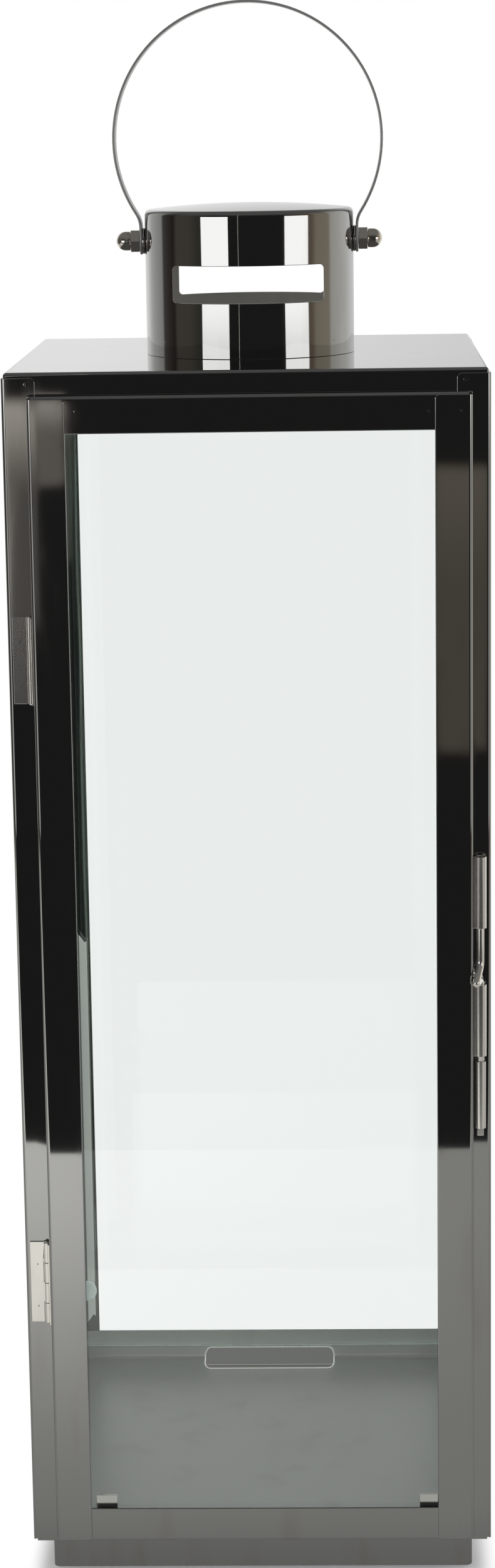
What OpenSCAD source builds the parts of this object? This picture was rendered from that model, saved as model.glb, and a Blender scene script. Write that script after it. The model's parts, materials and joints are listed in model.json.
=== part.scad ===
// Floor-standing candle lantern: a square body of folded sheet metal with four panes,
// a hinged glass door with a slide bolt, a vented chimney and a strip carrying handle.
// Millimetres. The origin is the middle of the plinth's underside, +Z is up, and the
// door faces -Y.

/* [Body] */
// Outer width and depth over the corner posts
body_w = 215; // [190:1:250]
// Height from the feet of the posts to the roof surface
body_h = 547; // [480:1:640]
// Thickness of every folded sheet
sheet_t = 1.0; // [0.8:0.1:1.2]
// Inner radius of the sheet-metal bends
bend_r = 0.8; // [0.5:0.1:1.2]
// Width of each flange of a front corner post
post_flange = 15; // [12:0.5:18]
// Width of each flange of a rear corner post
rear_post_flange = 17.2; // [16.8:0.1:20]
// Distance that the posts stop below the roof surface
post_drop = 2.4; // [2.4:0.1:4]
// Radius on the free top corners of the posts
post_corner_r = 2.2; // [1:0.1:3]
// Size of the snipped outer corner at the foot of each post
foot_snip = 1.6; // [0.5:0.1:3]
// Depth of the roof's down-turned flange
roof_flange_h = 17; // [14:0.5:22]
// Height of the raised floor's surface above the feet of the posts
floor_lift = 7.5; // [5:0.5:10]
// Height of the up-turned rails above the feet of the posts
rail_top = 23.5; // [21:0.5:32]
// Inner radius of the bend between floor and rails
floor_bend_r = 2.5; // [1.5:0.1:3]

/* [Air slot] */
// Width of the air slot across the rear bend of the floor
air_slot_w = 68.5; // [40:0.5:90]
// Reach of the air slot into the floor
air_slot_reach = 16; // [8:0.5:18]
// Rise of the air slot up the rear rail, above the floor
air_slot_rise = 6; // [5:0.5:7]
// Length of the air slot's round corners along its width
air_slot_r = 3.3; // [1:0.1:4]
// Length of the air slot's round corners across the floor
air_slot_floor_r = 9; // [4:0.5:10]
// Length of the air slot's round corners up the rail
air_slot_rail_r = 5; // [3:0.5:6]

/* [Plinth] */
// Height of the plinth below the feet of the posts
plinth_h = 17; // [10:1:30]
// Set-back of the plinth from the body on each side
plinth_inset = 8.5; // [5:0.5:16]
// Thickness of the plinth's sheet
plinth_t = 1.2; // [1:0.1:1.6]
// Width of the in-turned lip that rests on the ground
plinth_lip = 12; // [8:0.5:20]
// Corner radius of the plinth
plinth_corner_r = 3; // [2:0.5:6]

/* [Door] */
// Gap from the hinge side of the body to the door
door_margin_hinge = 11.6; // [10.5:0.1:12]
// Gap from the latch side of the body to the door
door_margin_latch = 8.3; // [8:0.1:10]
// Distance from the roof surface down to the door
door_top_gap = 10; // [5:0.5:12]
// Distance from the feet of the posts up to the door
door_bottom_gap = 2.2; // [0.4:0.1:3]
// Visible width of the stiles and rails
member_w = 16.6; // [15:0.1:20]
// Depth of the door's folded edge
door_depth = 7; // [6.5:0.1:8]
// Air between the back edge of the door and the posts
door_seat_gap = 0.3; // [0.3:0.1:0.6]
// Radius on the free corners of the stile faces
stile_corner_r = 2; // [1:0.1:3]

/* [Glass] */
// Thickness of the panes
glass_t = 3; // [2:0.1:3.4]
// Edge of a pane that is hidden behind the sheet metal
glass_cover = 8; // [6:0.5:9]
// Clearance between neighbouring panes at a corner
glass_corner_gap = 1; // [0.5:0.1:1.5]
// Leg width of the folded glass retainers behind the front posts
retainer_w = 8; // [6:0.5:9]
// Leg width of the folded glass retainers in the rear corners
rear_retainer_w = 12; // [9:0.5:13]
// Height of the rear retainers' lower ends above the rails
rear_retainer_lift = 4.5; // [1:0.5:12]
// Length that is cut off each free corner of the retainers
retainer_cut = 4.8; // [2:0.1:5]
// Thickness of the retainers and of the door's glass clips
clip_t = 0.8; // [0.6:0.1:1]
// Width of a glass clip
clip_w = 10; // [6:0.5:14]
// Height of the lower clips above the bottom rail
clip_show = 5.5; // [3:0.5:8]
// Distance of the clips from the inner edge of the hinge-side stile
clip_offset_hinge = 2; // [1:0.1:20]
// Distance of the clips from the inner edge of the latch-side stile, partly behind it
clip_offset_latch = -1.4; // [-6:0.1:20]
// Diameter of the clear bumper dot
bumper_d = 9.2; // [6:0.1:12]
// Thickness of the bumper dot
bumper_t = 1.6; // [1:0.1:1.8]
// Height of the bumper dot above the feet of the posts
bumper_z = 124.8; // [60:0.2:200]

/* [Hinges] */
// Length of each hinge
hinge_len = 39; // [30:1:50]
// Distance from the roof surface to the top of the upper hinge
hinge_upper_drop = 108; // [60:1:140]
// Distance from the roof surface to the top of the lower hinge
hinge_lower_drop = 399; // [300:1:420]
// Outer diameter of the knuckles
knuckle_d = 3.0; // [2.9:0.1:3.2]
// Diameter of the hinge pins
hinge_pin_d = 1.4; // [1.2:0.1:1.5]
// Thickness of the hinge leaves
leaf_t = 0.7; // [0.5:0.1:0.8]
// Width of the frame leaf beside the knuckles
leaf_w = 6.4; // [5:0.1:7]
// Radial clearance of the turning knuckles on the pin
hinge_clearance = 0.05; // [0.03:0.01:0.08]
// Gap between neighbouring knuckles
knuckle_gap = 0.2; // [0.2:0.05:0.4]

/* [Slide bolt] */
// Gap between the door's edge and the sleeves, filled by their feet
sleeve_standoff = 0.6; // [0.4:0.1:1]
// Diameter of the bolt rod
bolt_d = 3.4; // [3:0.1:3.6]
// Outer diameter of the two sleeves on the door
sleeve_d = 5.4; // [5.2:0.1:5.6]
// Outer diameter of the keeper tube on the post
keeper_d = 4.8; // [4.7:0.1:5.2]
// Radial clearance of the rod in its tubes
bolt_clearance = 0.06; // [0.04:0.01:0.1]
// Distance from the roof surface to the top of the upper sleeve
bolt_drop = 218; // [180:1:280]
// Length of the upper sleeve
sleeve_upper_len = 33; // [24:1:40]
// Length of the lower sleeve
sleeve_lower_len = 33.5; // [24:0.5:40]
// Window between the sleeves where the rod's thumb bend travels
bolt_window = 26.2; // [24:0.1:32]
// Gap between the lower sleeve and the keeper
keeper_gap = 2.6; // [1.5:0.1:4]
// Length of the keeper tube
keeper_len = 31.5; // [20:0.5:40]
// Length of the keeper's foot tab below its tube
keeper_tab = 4.2; // [3:0.1:6]
// Travel of the bolt
bolt_travel = 14; // [12:0.5:14]
// Depth of the rod inside the keeper when bolted
bolt_engage = 11; // [9:0.5:11]
// Forward reach of the rod's thumb bend from the rod's axis
thumb_reach = 7.2; // [6.8:0.1:9]

/* [Chimney] */
// Outer diameter of the chimney
chimney_d = 97; // [94:1:104]
// Height of the chimney tube above the roof
chimney_h = 64; // [58:0.5:80]
// Width of the vent slots
vent_w = 69; // [50:1:76]
// Height of the vent slots
vent_h = 16.7; // [10:0.1:20]
// Height of the middle of the vent slots above the roof
vent_z = 33.5; // [31:0.5:36]
// Corner radius of the vent slots
vent_r = 1.8; // [0.5:0.1:4]
// Width of the roof ledge inside the tube
chimney_ledge = 1; // [0.5:0.5:4]
// Radius of the cap's rounded edge
cap_edge_r = 2.5; // [1.8:0.1:3.5]
// Rise of the cap's dome
cap_dome = 2.5; // [1:0.1:6]
// Depth of the cap's spigot inside the tube
cap_spigot = 4; // [2:0.5:6]

/* [Handle] */
// Width of the handle strip
strip_w = 12.7; // [10:0.1:16]
// Thickness of the handle strip
strip_t = 1.2; // [0.8:0.1:1.5]
// Outer radius of the handle loop
loop_r = 62.5; // [60:0.1:68]
// Height of the loop's centre above the roof
loop_z = 98; // [96:0.5:110]
// Middle radius of the bends between the loop and its legs
neck_r = 12; // [6:0.5:14]
// Height of the pivots above the roof
pivot_z = 52; // [48:0.5:54]
// Diameter of the pivot bolts
pivot_d = 6; // [5:0.5:6]
// Thickness of the spacers between chimney and handle
spacer_t = 1.1; // [0.8:0.1:1.5]
// Diameter of the spacers
spacer_d = 12; // [10:0.5:13]
// Radial clearance of the handle on its pivot bolts
pivot_clearance = 0.1; // [0.05:0.01:0.1]
// Width across the flats of the cap nuts
nut_flats = 9.8; // [9:0.1:11]
// Length of the hexagon of the cap nuts
nut_hex_len = 4.2; // [3.5:0.1:6]
// Diameter of the cap nuts' dome
nut_dome_d = 8.8; // [8.2:0.1:9]
// Total length of the cap nuts
nut_len = 11; // [10:0.1:13]

/* [Hidden] */
$fn = 48;

// Extra length of a cutting shape past the face that it cuts
over = 1;

// Body
half = body_w / 2;
foot_z = plinth_h;
roof_z = foot_z + body_h;
post_top = roof_z - post_drop;
pan_half = half - sheet_t;
pane_face = pan_half - sheet_t;
bend_out = bend_r + sheet_t;
pan_corner_r = bend_r + 0.4;
floor_z = foot_z + floor_lift;
floor_bend_out = floor_bend_r + sheet_t;
rail_z = foot_z + rail_top;
lip_clearance = 0.2;
plinth_half = half - plinth_inset;
plinth_top = floor_z - sheet_t;

// Door
door_x0 = -half + door_margin_hinge;
door_x1 = half - door_margin_latch;
door_z0 = foot_z + door_bottom_gap;
door_z1 = roof_z - door_top_gap;
door_back = -half - door_seat_gap;
door_front = door_back - door_depth;
rail_front = door_front + sheet_t;
door_glass_front = rail_front + sheet_t;
door_glass_back = door_glass_front + glass_t;
door_glass_side_gap = 1.5;
clip_fold_r = 0.01;
upper_clip_hide = 2;
edge_clearance = 0.05;
rail_x0 = door_x0 + bend_out;
rail_x1 = door_x1 - bend_out;

// Panes of the body
pane_z0 = rail_z - glass_cover;
pane_z1 = roof_z - roof_flange_h + glass_cover;
pane_back = pane_face - glass_t;
rear_pane_half = pane_back - glass_corner_gap;
side_pane_front = -half + sheet_t + clip_t + glass_corner_gap;
side_pane_back = pane_back - glass_corner_gap;
retainer_gap = 0.5;

// Hinges
knuckles = 4;
knuckle_pitch = hinge_len / knuckles;
hinge_x = door_x0 - knuckle_d / 2;
hinge_y = -half - knuckle_d / 2;
leaf_clearance = 0.3;
door_leaf_front = door_front + bend_out;
upper_hinge_z = roof_z - hinge_upper_drop;
lower_hinge_z = roof_z - hinge_lower_drop;

// Slide bolt
sleeve_gap = 0.3;
bolt_x = door_x1 + sleeve_standoff + sleeve_d / 2;
bolt_y = -half - sleeve_gap - sleeve_d / 2;
sleeve_upper_z1 = roof_z - bolt_drop;
sleeve_upper_z0 = sleeve_upper_z1 - sleeve_upper_len;
sleeve_lower_z1 = sleeve_upper_z0 - bolt_window;
sleeve_lower_z0 = sleeve_lower_z1 - sleeve_lower_len;
keeper_z1 = sleeve_lower_z0 - keeper_gap;
keeper_z0 = keeper_z1 - keeper_len;
rod_z0 = keeper_z1 - bolt_engage;
rod_z1 = sleeve_upper_z0 + 0.5 * sleeve_upper_len;
foot_w = 3;
keeper_tab_lap = 1.5;
bolt_bore_d = bolt_d + 2 * bolt_clearance;
thumb_d = bolt_d - 0.2;
thumb_z1 = sleeve_upper_z0 - bolt_travel - bolt_d / 2 - 1.6;
thumb_z0 = sleeve_lower_z1 + bolt_d / 2 + 0.5;
thumb_tip_z = thumb_z0 - 0.6;
thumb_side = 2.4;

// Chimney
chimney_r = chimney_d / 2;
chimney_inner_r = chimney_r - sheet_t;
cap_z = roof_z + chimney_h;
cap_crown_r = chimney_r - cap_edge_r;
dome_r = (cap_crown_r * cap_crown_r + cap_dome * cap_dome) / (2 * cap_dome);
cap_top = cap_z + cap_edge_r;
spigot_clearance = 0.05;
spigot_r = chimney_inner_r - spigot_clearance;

// Handle
strip_x0 = chimney_r + spacer_t;
strip_x1 = strip_x0 + strip_t;
axle_z = roof_z + pivot_z;
loop_centre_z = roof_z + loop_z;
loop_mid_r = loop_r - strip_t / 2;
strip_mid_x = strip_x0 + strip_t / 2;
neck_x = strip_mid_x + neck_r;
neck_drop = sqrt(pow(loop_mid_r + neck_r, 2) - neck_x * neck_x);
leg_angle = acos(neck_x / (loop_mid_r + neck_r));
leg_top = loop_centre_z - neck_drop;
nut_face_gap = 0.1;
nut_x0 = strip_x1 + nut_face_gap;
bolt_head_len = 3;
bolt_head_flats = 9;
nut_corner_turning = 0.4;
nut_corner_d = nut_flats / cos(30) - nut_corner_turning;
nut_wall = 2;

steel = [0.30, 0.30, 0.31];
nickel = [0.80, 0.79, 0.76];
clear_glass = [0.80, 0.88, 0.86, 0.4];

// Shared shapes ---------------------------------------------------------------

// Outline of a folded angle: outer corner at the origin, legs along +X and +Y
module angle_outline(leg_a, leg_b, t, r_in) {
    r_out = r_in + t;
    translate([r_out, 0]) square([leg_a - r_out, t]);
    translate([0, r_out]) square([t, leg_b - r_out]);
    intersection() {
        square(r_out);
        translate([r_out, r_out]) difference() {
            circle(r = r_out);
            circle(r = r_in);
        }
    }
}

// What a radius r takes off a corner at the origin, with the material at -X and -Y
module corner_waste(r) {
    translate([-r, -r]) difference() {
        square(r + over);
        circle(r = r);
    }
}

// Rectangle about the origin with round corners
module round_rect(w, h, r) {
    square([w - 2 * r, h], center = true);
    square([w, h - 2 * r], center = true);
    for (sx = [-1, 1], sy = [-1, 1]) translate([sx * (w / 2 - r), sy * (h / 2 - r)]) circle(r = r);
}

// Section of a block of half width s whose two top corners are round
module top_round_section(s, z0, z1, r) {
    translate([-s, z0]) square([2 * s, z1 - r - z0]);
    translate([-(s - r), z0]) square([2 * (s - r), z1 - z0]);
    for (side = [-1, 1]) translate([side * (s - r), z1 - r]) circle(r = r);
}

// Square block with round top edges and round upright corners
module pan_block(s, z0, z1, r, corner_r) {
    intersection() {
        rotate([90, 0, 0]) linear_extrude(height = 2 * s + over, center = true)
            top_round_section(s, z0, z1, r);
        rotate([90, 0, 90]) linear_extrude(height = 2 * s + over, center = true)
            top_round_section(s, z0, z1, r);
        translate([0, 0, z0]) linear_extrude(height = z1 - z0) round_rect(2 * s, 2 * s, corner_r);
    }
}

// Folded pan, open below, whose plate lies under z1
module folded_pan(s, z0, z1, t, r_in) {
    difference() {
        pan_block(s, z0, z1, r_in + t, pan_corner_r);
        pan_block(s - t, z0 - over, z1 - t, r_in, max(pan_corner_r - t, 0.1));
    }
}

// Extrudes an outline drawn in X and Z along Y, from y0 to y1
module along_y(y0, y1) {
    translate([0, y1, 0]) rotate([90, 0, 0]) linear_extrude(height = y1 - y0) children();
}

// Extrudes an outline drawn in Y and Z along X, from x0 to x1
module along_x(x0, x1) {
    translate([x0, 0, 0]) rotate([90, 0, 90]) linear_extrude(height = x1 - x0) children();
}

// Mirrors its children to the side where sx and sy point, from -X and -Y
module to_corner(sx, sy) {
    mirror([sx > 0 ? 1 : 0, 0, 0]) mirror([0, sy > 0 ? 1 : 0, 0]) children();
}

// Frame -----------------------------------------------------------------------

module roof_pan() {
    color(steel) difference() {
        folded_pan(pan_half, roof_z - roof_flange_h, roof_z, sheet_t, bend_r);
        translate([0, 0, roof_z - sheet_t - over])
            cylinder(r = chimney_inner_r - chimney_ledge, h = sheet_t + 2 * over, $fn = 96);
    }
}

module corner_post(sx, sy) {
    flange = sy < 0 ? post_flange : rear_post_flange;
    to_corner(sx, sy) difference() {
        translate([-half, -half, foot_z]) linear_extrude(height = post_top - foot_z)
            angle_outline(flange, flange, sheet_t, bend_r);
        along_y(-half - over, -half + sheet_t + over)
            translate([-half + flange, post_top]) corner_waste(post_corner_r);
        along_x(-half - over, -half + sheet_t + over)
            translate([-half + flange, post_top]) corner_waste(post_corner_r);
        along_y(-half - over, -half + bend_out) foot_snip_outline();
        along_x(-half - over, -half + bend_out) foot_snip_outline();
    }
}

// Triangle that is snipped off the outer corner at the foot of a post
module foot_snip_outline() {
    polygon([
        [-half - over, foot_z - over],
        [-half + foot_snip + over, foot_z - over],
        [-half - over, foot_z + foot_snip + over]
    ]);
}

module post_front_left() { color(steel) corner_post(-1, -1); }
module post_front_right() { color(steel) corner_post(1, -1); }
module post_rear_left() { color(steel) corner_post(-1, 1); }
module post_rear_right() { color(steel) corner_post(1, 1); }

// Floor with up-turned sides and back, and a down-turned lip behind the door's bottom rail
module floor_pan() {
    lip_half = pan_half - floor_bend_out;
    front_cut = -pan_half + floor_bend_out;
    color(steel) difference() {
        union() {
            difference() {
                translate([0, 0, plinth_top + rail_z]) mirror([0, 0, 1])
                    folded_pan(pan_half, plinth_top, rail_z, sheet_t, floor_bend_r);
                translate([-half, -half, plinth_top - over])
                    cube([body_w, half + front_cut, rail_z - plinth_top + 2 * over]);
            }
            along_x(-lip_half, lip_half) translate([-pan_half, floor_z]) mirror([0, 1])
                angle_outline(2 * floor_bend_out, floor_lift - lip_clearance, sheet_t, bend_r);
        }
        air_slot();
    }
}

// Rectangle about the origin with corners that are rx long along X and ry long along Y
module oval_rect(w, h, rx, ry) {
    scale([1, ry / rx]) round_rect(w, h * rx / ry, rx);
}

// Cuts the air slot through the floor and through the rear rail
module air_slot() {
    slot_y0 = pan_half - air_slot_reach;
    cut_len = air_slot_reach + air_slot_floor_r + over;
    translate([0, slot_y0 + cut_len / 2, plinth_top - over])
        linear_extrude(height = sheet_t + floor_bend_out + over)
            oval_rect(air_slot_w, cut_len, air_slot_r, air_slot_floor_r);
    along_y(pan_half - floor_bend_out, pan_half + over)
        translate([0, floor_z + air_slot_rise - air_slot_w / 2])
            intersection() {
                oval_rect(air_slot_w, air_slot_w, air_slot_r, air_slot_rail_r);
                translate([-air_slot_w, air_slot_w / 2 - air_slot_rise - floor_lift])
                    square([2 * air_slot_w, floor_lift + air_slot_rise]);
            }
}

module plinth() {
    inner_r = plinth_corner_r - plinth_t;
    color(steel) difference() {
        linear_extrude(height = plinth_top)
            round_rect(2 * plinth_half, 2 * plinth_half, plinth_corner_r);
        translate([0, 0, plinth_t]) linear_extrude(height = plinth_top)
            round_rect(2 * (plinth_half - plinth_t), 2 * (plinth_half - plinth_t), inner_r);
        translate([0, 0, -over]) linear_extrude(height = plinth_top)
            round_rect(2 * (plinth_half - plinth_lip), 2 * (plinth_half - plinth_lip), inner_r);
    }
}

// Pane on the +X or -X side
module side_pane(side) {
    x0 = side > 0 ? pane_back : -pane_face;
    translate([x0, side_pane_front, pane_z0])
        cube([glass_t, side_pane_back - side_pane_front, pane_z1 - pane_z0]);
}

module glass_left() { color(clear_glass) side_pane(-1); }
module glass_right() { color(clear_glass) side_pane(1); }

module glass_rear() {
    color(clear_glass) translate([-rear_pane_half, pane_back, pane_z0])
        cube([2 * rear_pane_half, glass_t, pane_z1 - pane_z0]);
}

// Cuts the two free lower or upper corners off the legs of a retainer of leg width w
module retainer_mitre(w, z, up) {
    translate([w, 0, z]) rotate([0, up * 45, 0])
        cube([2 * retainer_cut, 4 * w, 2 * retainer_cut / sqrt(2)], center = true);
    translate([0, w, z]) rotate([-up * 45, 0, 0])
        cube([4 * w, 2 * retainer_cut, 2 * retainer_cut / sqrt(2)], center = true);
}

// Folded strip in a corner of the body, from z0 to z1, with its outer corner at the origin
module retainer(w, z0, z1) {
    difference() {
        translate([0, 0, z0]) linear_extrude(height = z1 - z0)
            angle_outline(w, w, clip_t, bend_r);
        retainer_mitre(w, z0, 1);
        retainer_mitre(w, z1, -1);
    }
}

// Front retainers lie on the post's flange, below the roof's flange, and hold the side pane
module front_retainer(side) {
    to_corner(side, -1) translate([-pane_back, -half + sheet_t, 0])
        retainer(retainer_w, floor_z + floor_bend_r + edge_clearance,
                 roof_z - roof_flange_h - retainer_gap);
}

// Rear retainers hold the rear pane and the side pane in their corner, above the rails
module rear_retainer(side) {
    to_corner(side, 1) translate([-pane_back, -pane_back, 0])
        retainer(rear_retainer_w, rail_z + rear_retainer_lift, roof_z - sheet_t - retainer_gap);
}

module retainer_front_left() { color(steel) front_retainer(-1); }
module retainer_front_right() { color(steel) front_retainer(1); }
module retainer_rear_left() { color(steel) rear_retainer(-1); }
module retainer_rear_right() { color(steel) rear_retainer(1); }

// Chimney ---------------------------------------------------------------------

module chimney_tube() {
    color(steel) difference() {
        translate([0, 0, roof_z]) cylinder(r = chimney_r, h = chimney_h, $fn = 96);
        translate([0, 0, roof_z - over])
            cylinder(r = chimney_inner_r, h = chimney_h + 2 * over, $fn = 96);
        along_y(-chimney_r - over, chimney_r + over)
            translate([0, roof_z + vent_z]) round_rect(vent_w, vent_h, vent_r);
        translate([-chimney_r - over, 0, axle_z]) rotate([0, 90, 0])
            cylinder(d = pivot_d, h = chimney_d + 2 * over);
    }
}

// Half section of the cap: spigot, flat seat on the tube, and rounded edge
module cap_edge_outline() {
    difference() {
        union() {
            translate([cap_crown_r - over, -cap_spigot])
                square([spigot_r - cap_crown_r + over, cap_spigot + over / 2]);
            intersection() {
                translate([cap_crown_r - over, 0]) square([cap_edge_r + over, cap_edge_r]);
                union() {
                    translate([cap_crown_r, 0]) circle(r = cap_edge_r);
                    translate([cap_crown_r - over, 0]) square([over, cap_edge_r]);
                }
            }
        }
        translate([cap_crown_r - 2 * over, -cap_spigot - over])
            square([spigot_r - sheet_t - cap_crown_r + 2 * over, cap_spigot + over + cap_edge_r - sheet_t]);
    }
}

// Shallow dome between the cap's edge and its crown
module cap_crown() {
    intersection() {
        translate([0, 0, cap_top]) cylinder(r = cap_crown_r, h = 2 * cap_dome + sheet_t, center = true, $fn = 96);
        translate([0, 0, cap_top + cap_dome - dome_r]) difference() {
            sphere(r = dome_r, $fn = 96);
            sphere(r = dome_r - sheet_t, $fn = 96);
        }
    }
}

module chimney_cap() {
    color(steel) union() {
        translate([0, 0, cap_z]) rotate_extrude($fn = 96) cap_edge_outline();
        cap_crown();
    }
}

// Handle pivots, drawn on the +X side and mirrored for the other -------------------

module pivot_bolt(side) {
    seat_x = sqrt(chimney_inner_r * chimney_inner_r - bolt_head_flats * bolt_head_flats / 3);
    mirror([side < 0 ? 1 : 0, 0, 0]) translate([0, 0, axle_z]) rotate([0, 90, 0]) {
        translate([0, 0, seat_x - bolt_head_len])
            cylinder(d = bolt_head_flats / cos(30), h = bolt_head_len, $fn = 6);
        translate([0, 0, seat_x - bolt_head_len / 2])
            cylinder(d = pivot_d, h = nut_x0 + nut_len - nut_wall - seat_x + bolt_head_len / 2);
    }
}

module pivot_bolt_left() { color(nickel) pivot_bolt(-1); }
module pivot_bolt_right() { color(nickel) pivot_bolt(1); }

module spacer(side) {
    mirror([side < 0 ? 1 : 0, 0, 0]) translate([chimney_r, 0, axle_z]) rotate([0, 90, 0])
        difference() {
            cylinder(d = spacer_d, h = spacer_t);
            translate([0, 0, -over]) cylinder(d = pivot_d, h = spacer_t + 2 * over);
        }
}

module spacer_left() { color(nickel) spacer(-1); }
module spacer_right() { color(nickel) spacer(1); }

// Hexagon with turned corners, a short neck and a half-round dome
module cap_nut(side) {
    dome_r_nut = nut_dome_d / 2;
    mirror([side < 0 ? 1 : 0, 0, 0]) translate([nut_x0, 0, axle_z]) rotate([0, 90, 0])
        difference() {
            union() {
                intersection() {
                    cylinder(d = nut_flats / cos(30), h = nut_hex_len, $fn = 6);
                    cylinder(d = nut_corner_d, h = nut_hex_len);
                }
                cylinder(d = nut_dome_d, h = nut_len - dome_r_nut);
                translate([0, 0, nut_len - dome_r_nut]) sphere(d = nut_dome_d);
            }
            translate([0, 0, -over]) cylinder(d = pivot_d, h = nut_len - nut_wall + over);
        }
}

module cap_nut_left() { color(nickel) cap_nut(-1); }
module cap_nut_right() { color(nickel) cap_nut(1); }

// Handle ----------------------------------------------------------------------

// Part of a ring of the strip's thickness, from angle a0 to angle a1
module strip_arc(mid_r, a0, a1, faces) {
    reach = 4 * mid_r;
    intersection() {
        difference() {
            circle(r = mid_r + strip_t / 2, $fn = faces);
            circle(r = mid_r - strip_t / 2, $fn = faces);
        }
        polygon([[0, 0], [reach * cos(a0), reach * sin(a0)], [reach * cos(a1), reach * sin(a1)]]);
    }
}

// Edge outline of the strip in X and Z: an open loop that bends into two straight legs
module strip_outline() {
    reach = 2 * loop_r;
    neck_lap = 0.4;
    translate([0, loop_centre_z]) difference() {
        circle(r = loop_r, $fn = 128);
        circle(r = loop_r - strip_t, $fn = 128);
        polygon([
            [0, 0],
            [reach * cos(leg_angle), -reach * sin(leg_angle)],
            [0, -2 * reach],
            [-reach * cos(leg_angle), -reach * sin(leg_angle)]
        ]);
    }
    for (side = [0, 1]) mirror([side, 0]) {
        translate([neck_x, leg_top]) strip_arc(neck_r, 180 - leg_angle - neck_lap, 180 + neck_lap, 128);
        translate([strip_x0, axle_z - strip_w / 2]) square([strip_t, leg_top - axle_z + strip_w / 2]);
    }
}

// Side outline of the strip in Y and Z, with round ends about the pivots
module strip_side_outline() {
    translate([0, axle_z]) circle(d = strip_w);
    translate([-strip_w / 2, axle_z]) square([strip_w, loop_centre_z + loop_r + over - axle_z]);
}

module handle_strip() {
    reach = strip_x1 + loop_r;
    color(steel) difference() {
        intersection() {
            along_y(-strip_w / 2, strip_w / 2) strip_outline();
            along_x(-reach, reach) strip_side_outline();
        }
        translate([-reach, 0, axle_z]) rotate([0, 90, 0])
            cylinder(d = pivot_d + 2 * pivot_clearance, h = 2 * reach);
    }
}

// Hinges ----------------------------------------------------------------------

// Height of the top of knuckle i, counted down from the hinge's top
function knuckle_top(z1, i) = z1 - i * knuckle_pitch;

module knuckle(z1, i) {
    translate([hinge_x, hinge_y, knuckle_top(z1, i) - knuckle_pitch + knuckle_gap / 2])
        cylinder(d = knuckle_d, h = knuckle_pitch - knuckle_gap);
}

// Room round knuckle i of the other leaf
module knuckle_room(z1, i) {
    translate([hinge_x, hinge_y, knuckle_top(z1, i) - knuckle_pitch - knuckle_gap / 2])
        cylinder(d = knuckle_d + 2 * leaf_clearance, h = knuckle_pitch + knuckle_gap);
}

module hinge_bore(z1, d) {
    translate([hinge_x, hinge_y, z1 - hinge_len - over]) cylinder(d = d, h = hinge_len + 2 * over);
}

// Leaf flat on the front left post, with the first and third knuckles
module frame_leaf(z1) {
    plate_x0 = hinge_x - knuckle_d / 2 - leaf_w;
    difference() {
        union() {
            translate([plate_x0, -half - leaf_t, z1 - hinge_len])
                cube([hinge_x - plate_x0, leaf_t, hinge_len]);
            for (i = [0, 2]) knuckle(z1, i);
        }
        hinge_bore(z1, hinge_pin_d);
        for (i = [1, 3]) {
            knuckle_room(z1, i);
            translate([hinge_x - knuckle_d / 2 - leaf_clearance, -half - leaf_t - over,
                       knuckle_top(z1, i) - knuckle_pitch - knuckle_gap / 2 - (i == 3 ? over : 0)])
                cube([knuckle_d, leaf_t + 2 * over, knuckle_pitch + knuckle_gap + (i == 3 ? over : 0)]);
        }
    }
}

// Leaf flat on the door's folded edge, with the second and fourth knuckles
module door_leaf(z1) {
    difference() {
        union() {
            translate([door_x0 - leaf_t, door_leaf_front, z1 - hinge_len])
                cube([leaf_t, hinge_y - door_leaf_front, hinge_len]);
            for (i = [1, 3]) knuckle(z1, i);
        }
        hinge_bore(z1, hinge_pin_d + 2 * hinge_clearance);
        for (i = [0, 2]) {
            knuckle_room(z1, i);
            translate([hinge_x, hinge_y - knuckle_d / 2 - leaf_clearance,
                       knuckle_top(z1, i) - knuckle_pitch - knuckle_gap / 2])
                cube([knuckle_d, knuckle_d, knuckle_pitch + knuckle_gap + (i == 0 ? over : 0)]);
        }
    }
}

module hinge_pin(z1) {
    translate([hinge_x, hinge_y, z1 - hinge_len + knuckle_gap / 2])
        cylinder(d = hinge_pin_d, h = hinge_len - knuckle_gap);
}

module upper_hinge_frame_leaf() { color(nickel) frame_leaf(upper_hinge_z); }
module lower_hinge_frame_leaf() { color(nickel) frame_leaf(lower_hinge_z); }
module upper_hinge_pin() { color(nickel) hinge_pin(upper_hinge_z); }
module lower_hinge_pin() { color(nickel) hinge_pin(lower_hinge_z); }
module upper_hinge_door_leaf() { color(nickel) door_leaf(upper_hinge_z); }
module lower_hinge_door_leaf() { color(nickel) door_leaf(lower_hinge_z); }

// Door ------------------------------------------------------------------------

// Stile drawn at the hinge side: face towards -Y, folded edge on the outside
module stile(side) {
    x_out = side < 0 ? door_x0 : -door_x1;
    z0 = door_z0 + sheet_t;
    z1 = door_z1 - sheet_t;
    to_corner(side, -1) difference() {
        translate([x_out, door_front, z0]) linear_extrude(height = z1 - z0)
            angle_outline(member_w, door_depth, sheet_t, bend_r);
        along_y(door_front - over, rail_front + over) {
            translate([x_out + member_w, z1]) corner_waste(stile_corner_r);
            translate([x_out + member_w, z0]) mirror([0, 1]) corner_waste(stile_corner_r);
        }
    }
}

module door_stile_hinge() { color(steel) stile(-1); }
module door_stile_latch() { color(steel) stile(1); }

// Rail drawn at the bottom: its face passes behind the stiles, its fold closes their ends
module rail() {
    fold_depth = door_depth - sheet_t;
    along_x(rail_x0, rail_x1) translate([rail_front, door_z0])
        angle_outline(fold_depth, member_w, sheet_t, bend_r);
    translate([door_x0, rail_front + bend_out, door_z0])
        cube([door_x1 - door_x0, fold_depth - bend_out, sheet_t]);
}

module door_rail_bottom() { color(steel) rail(); }

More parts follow.
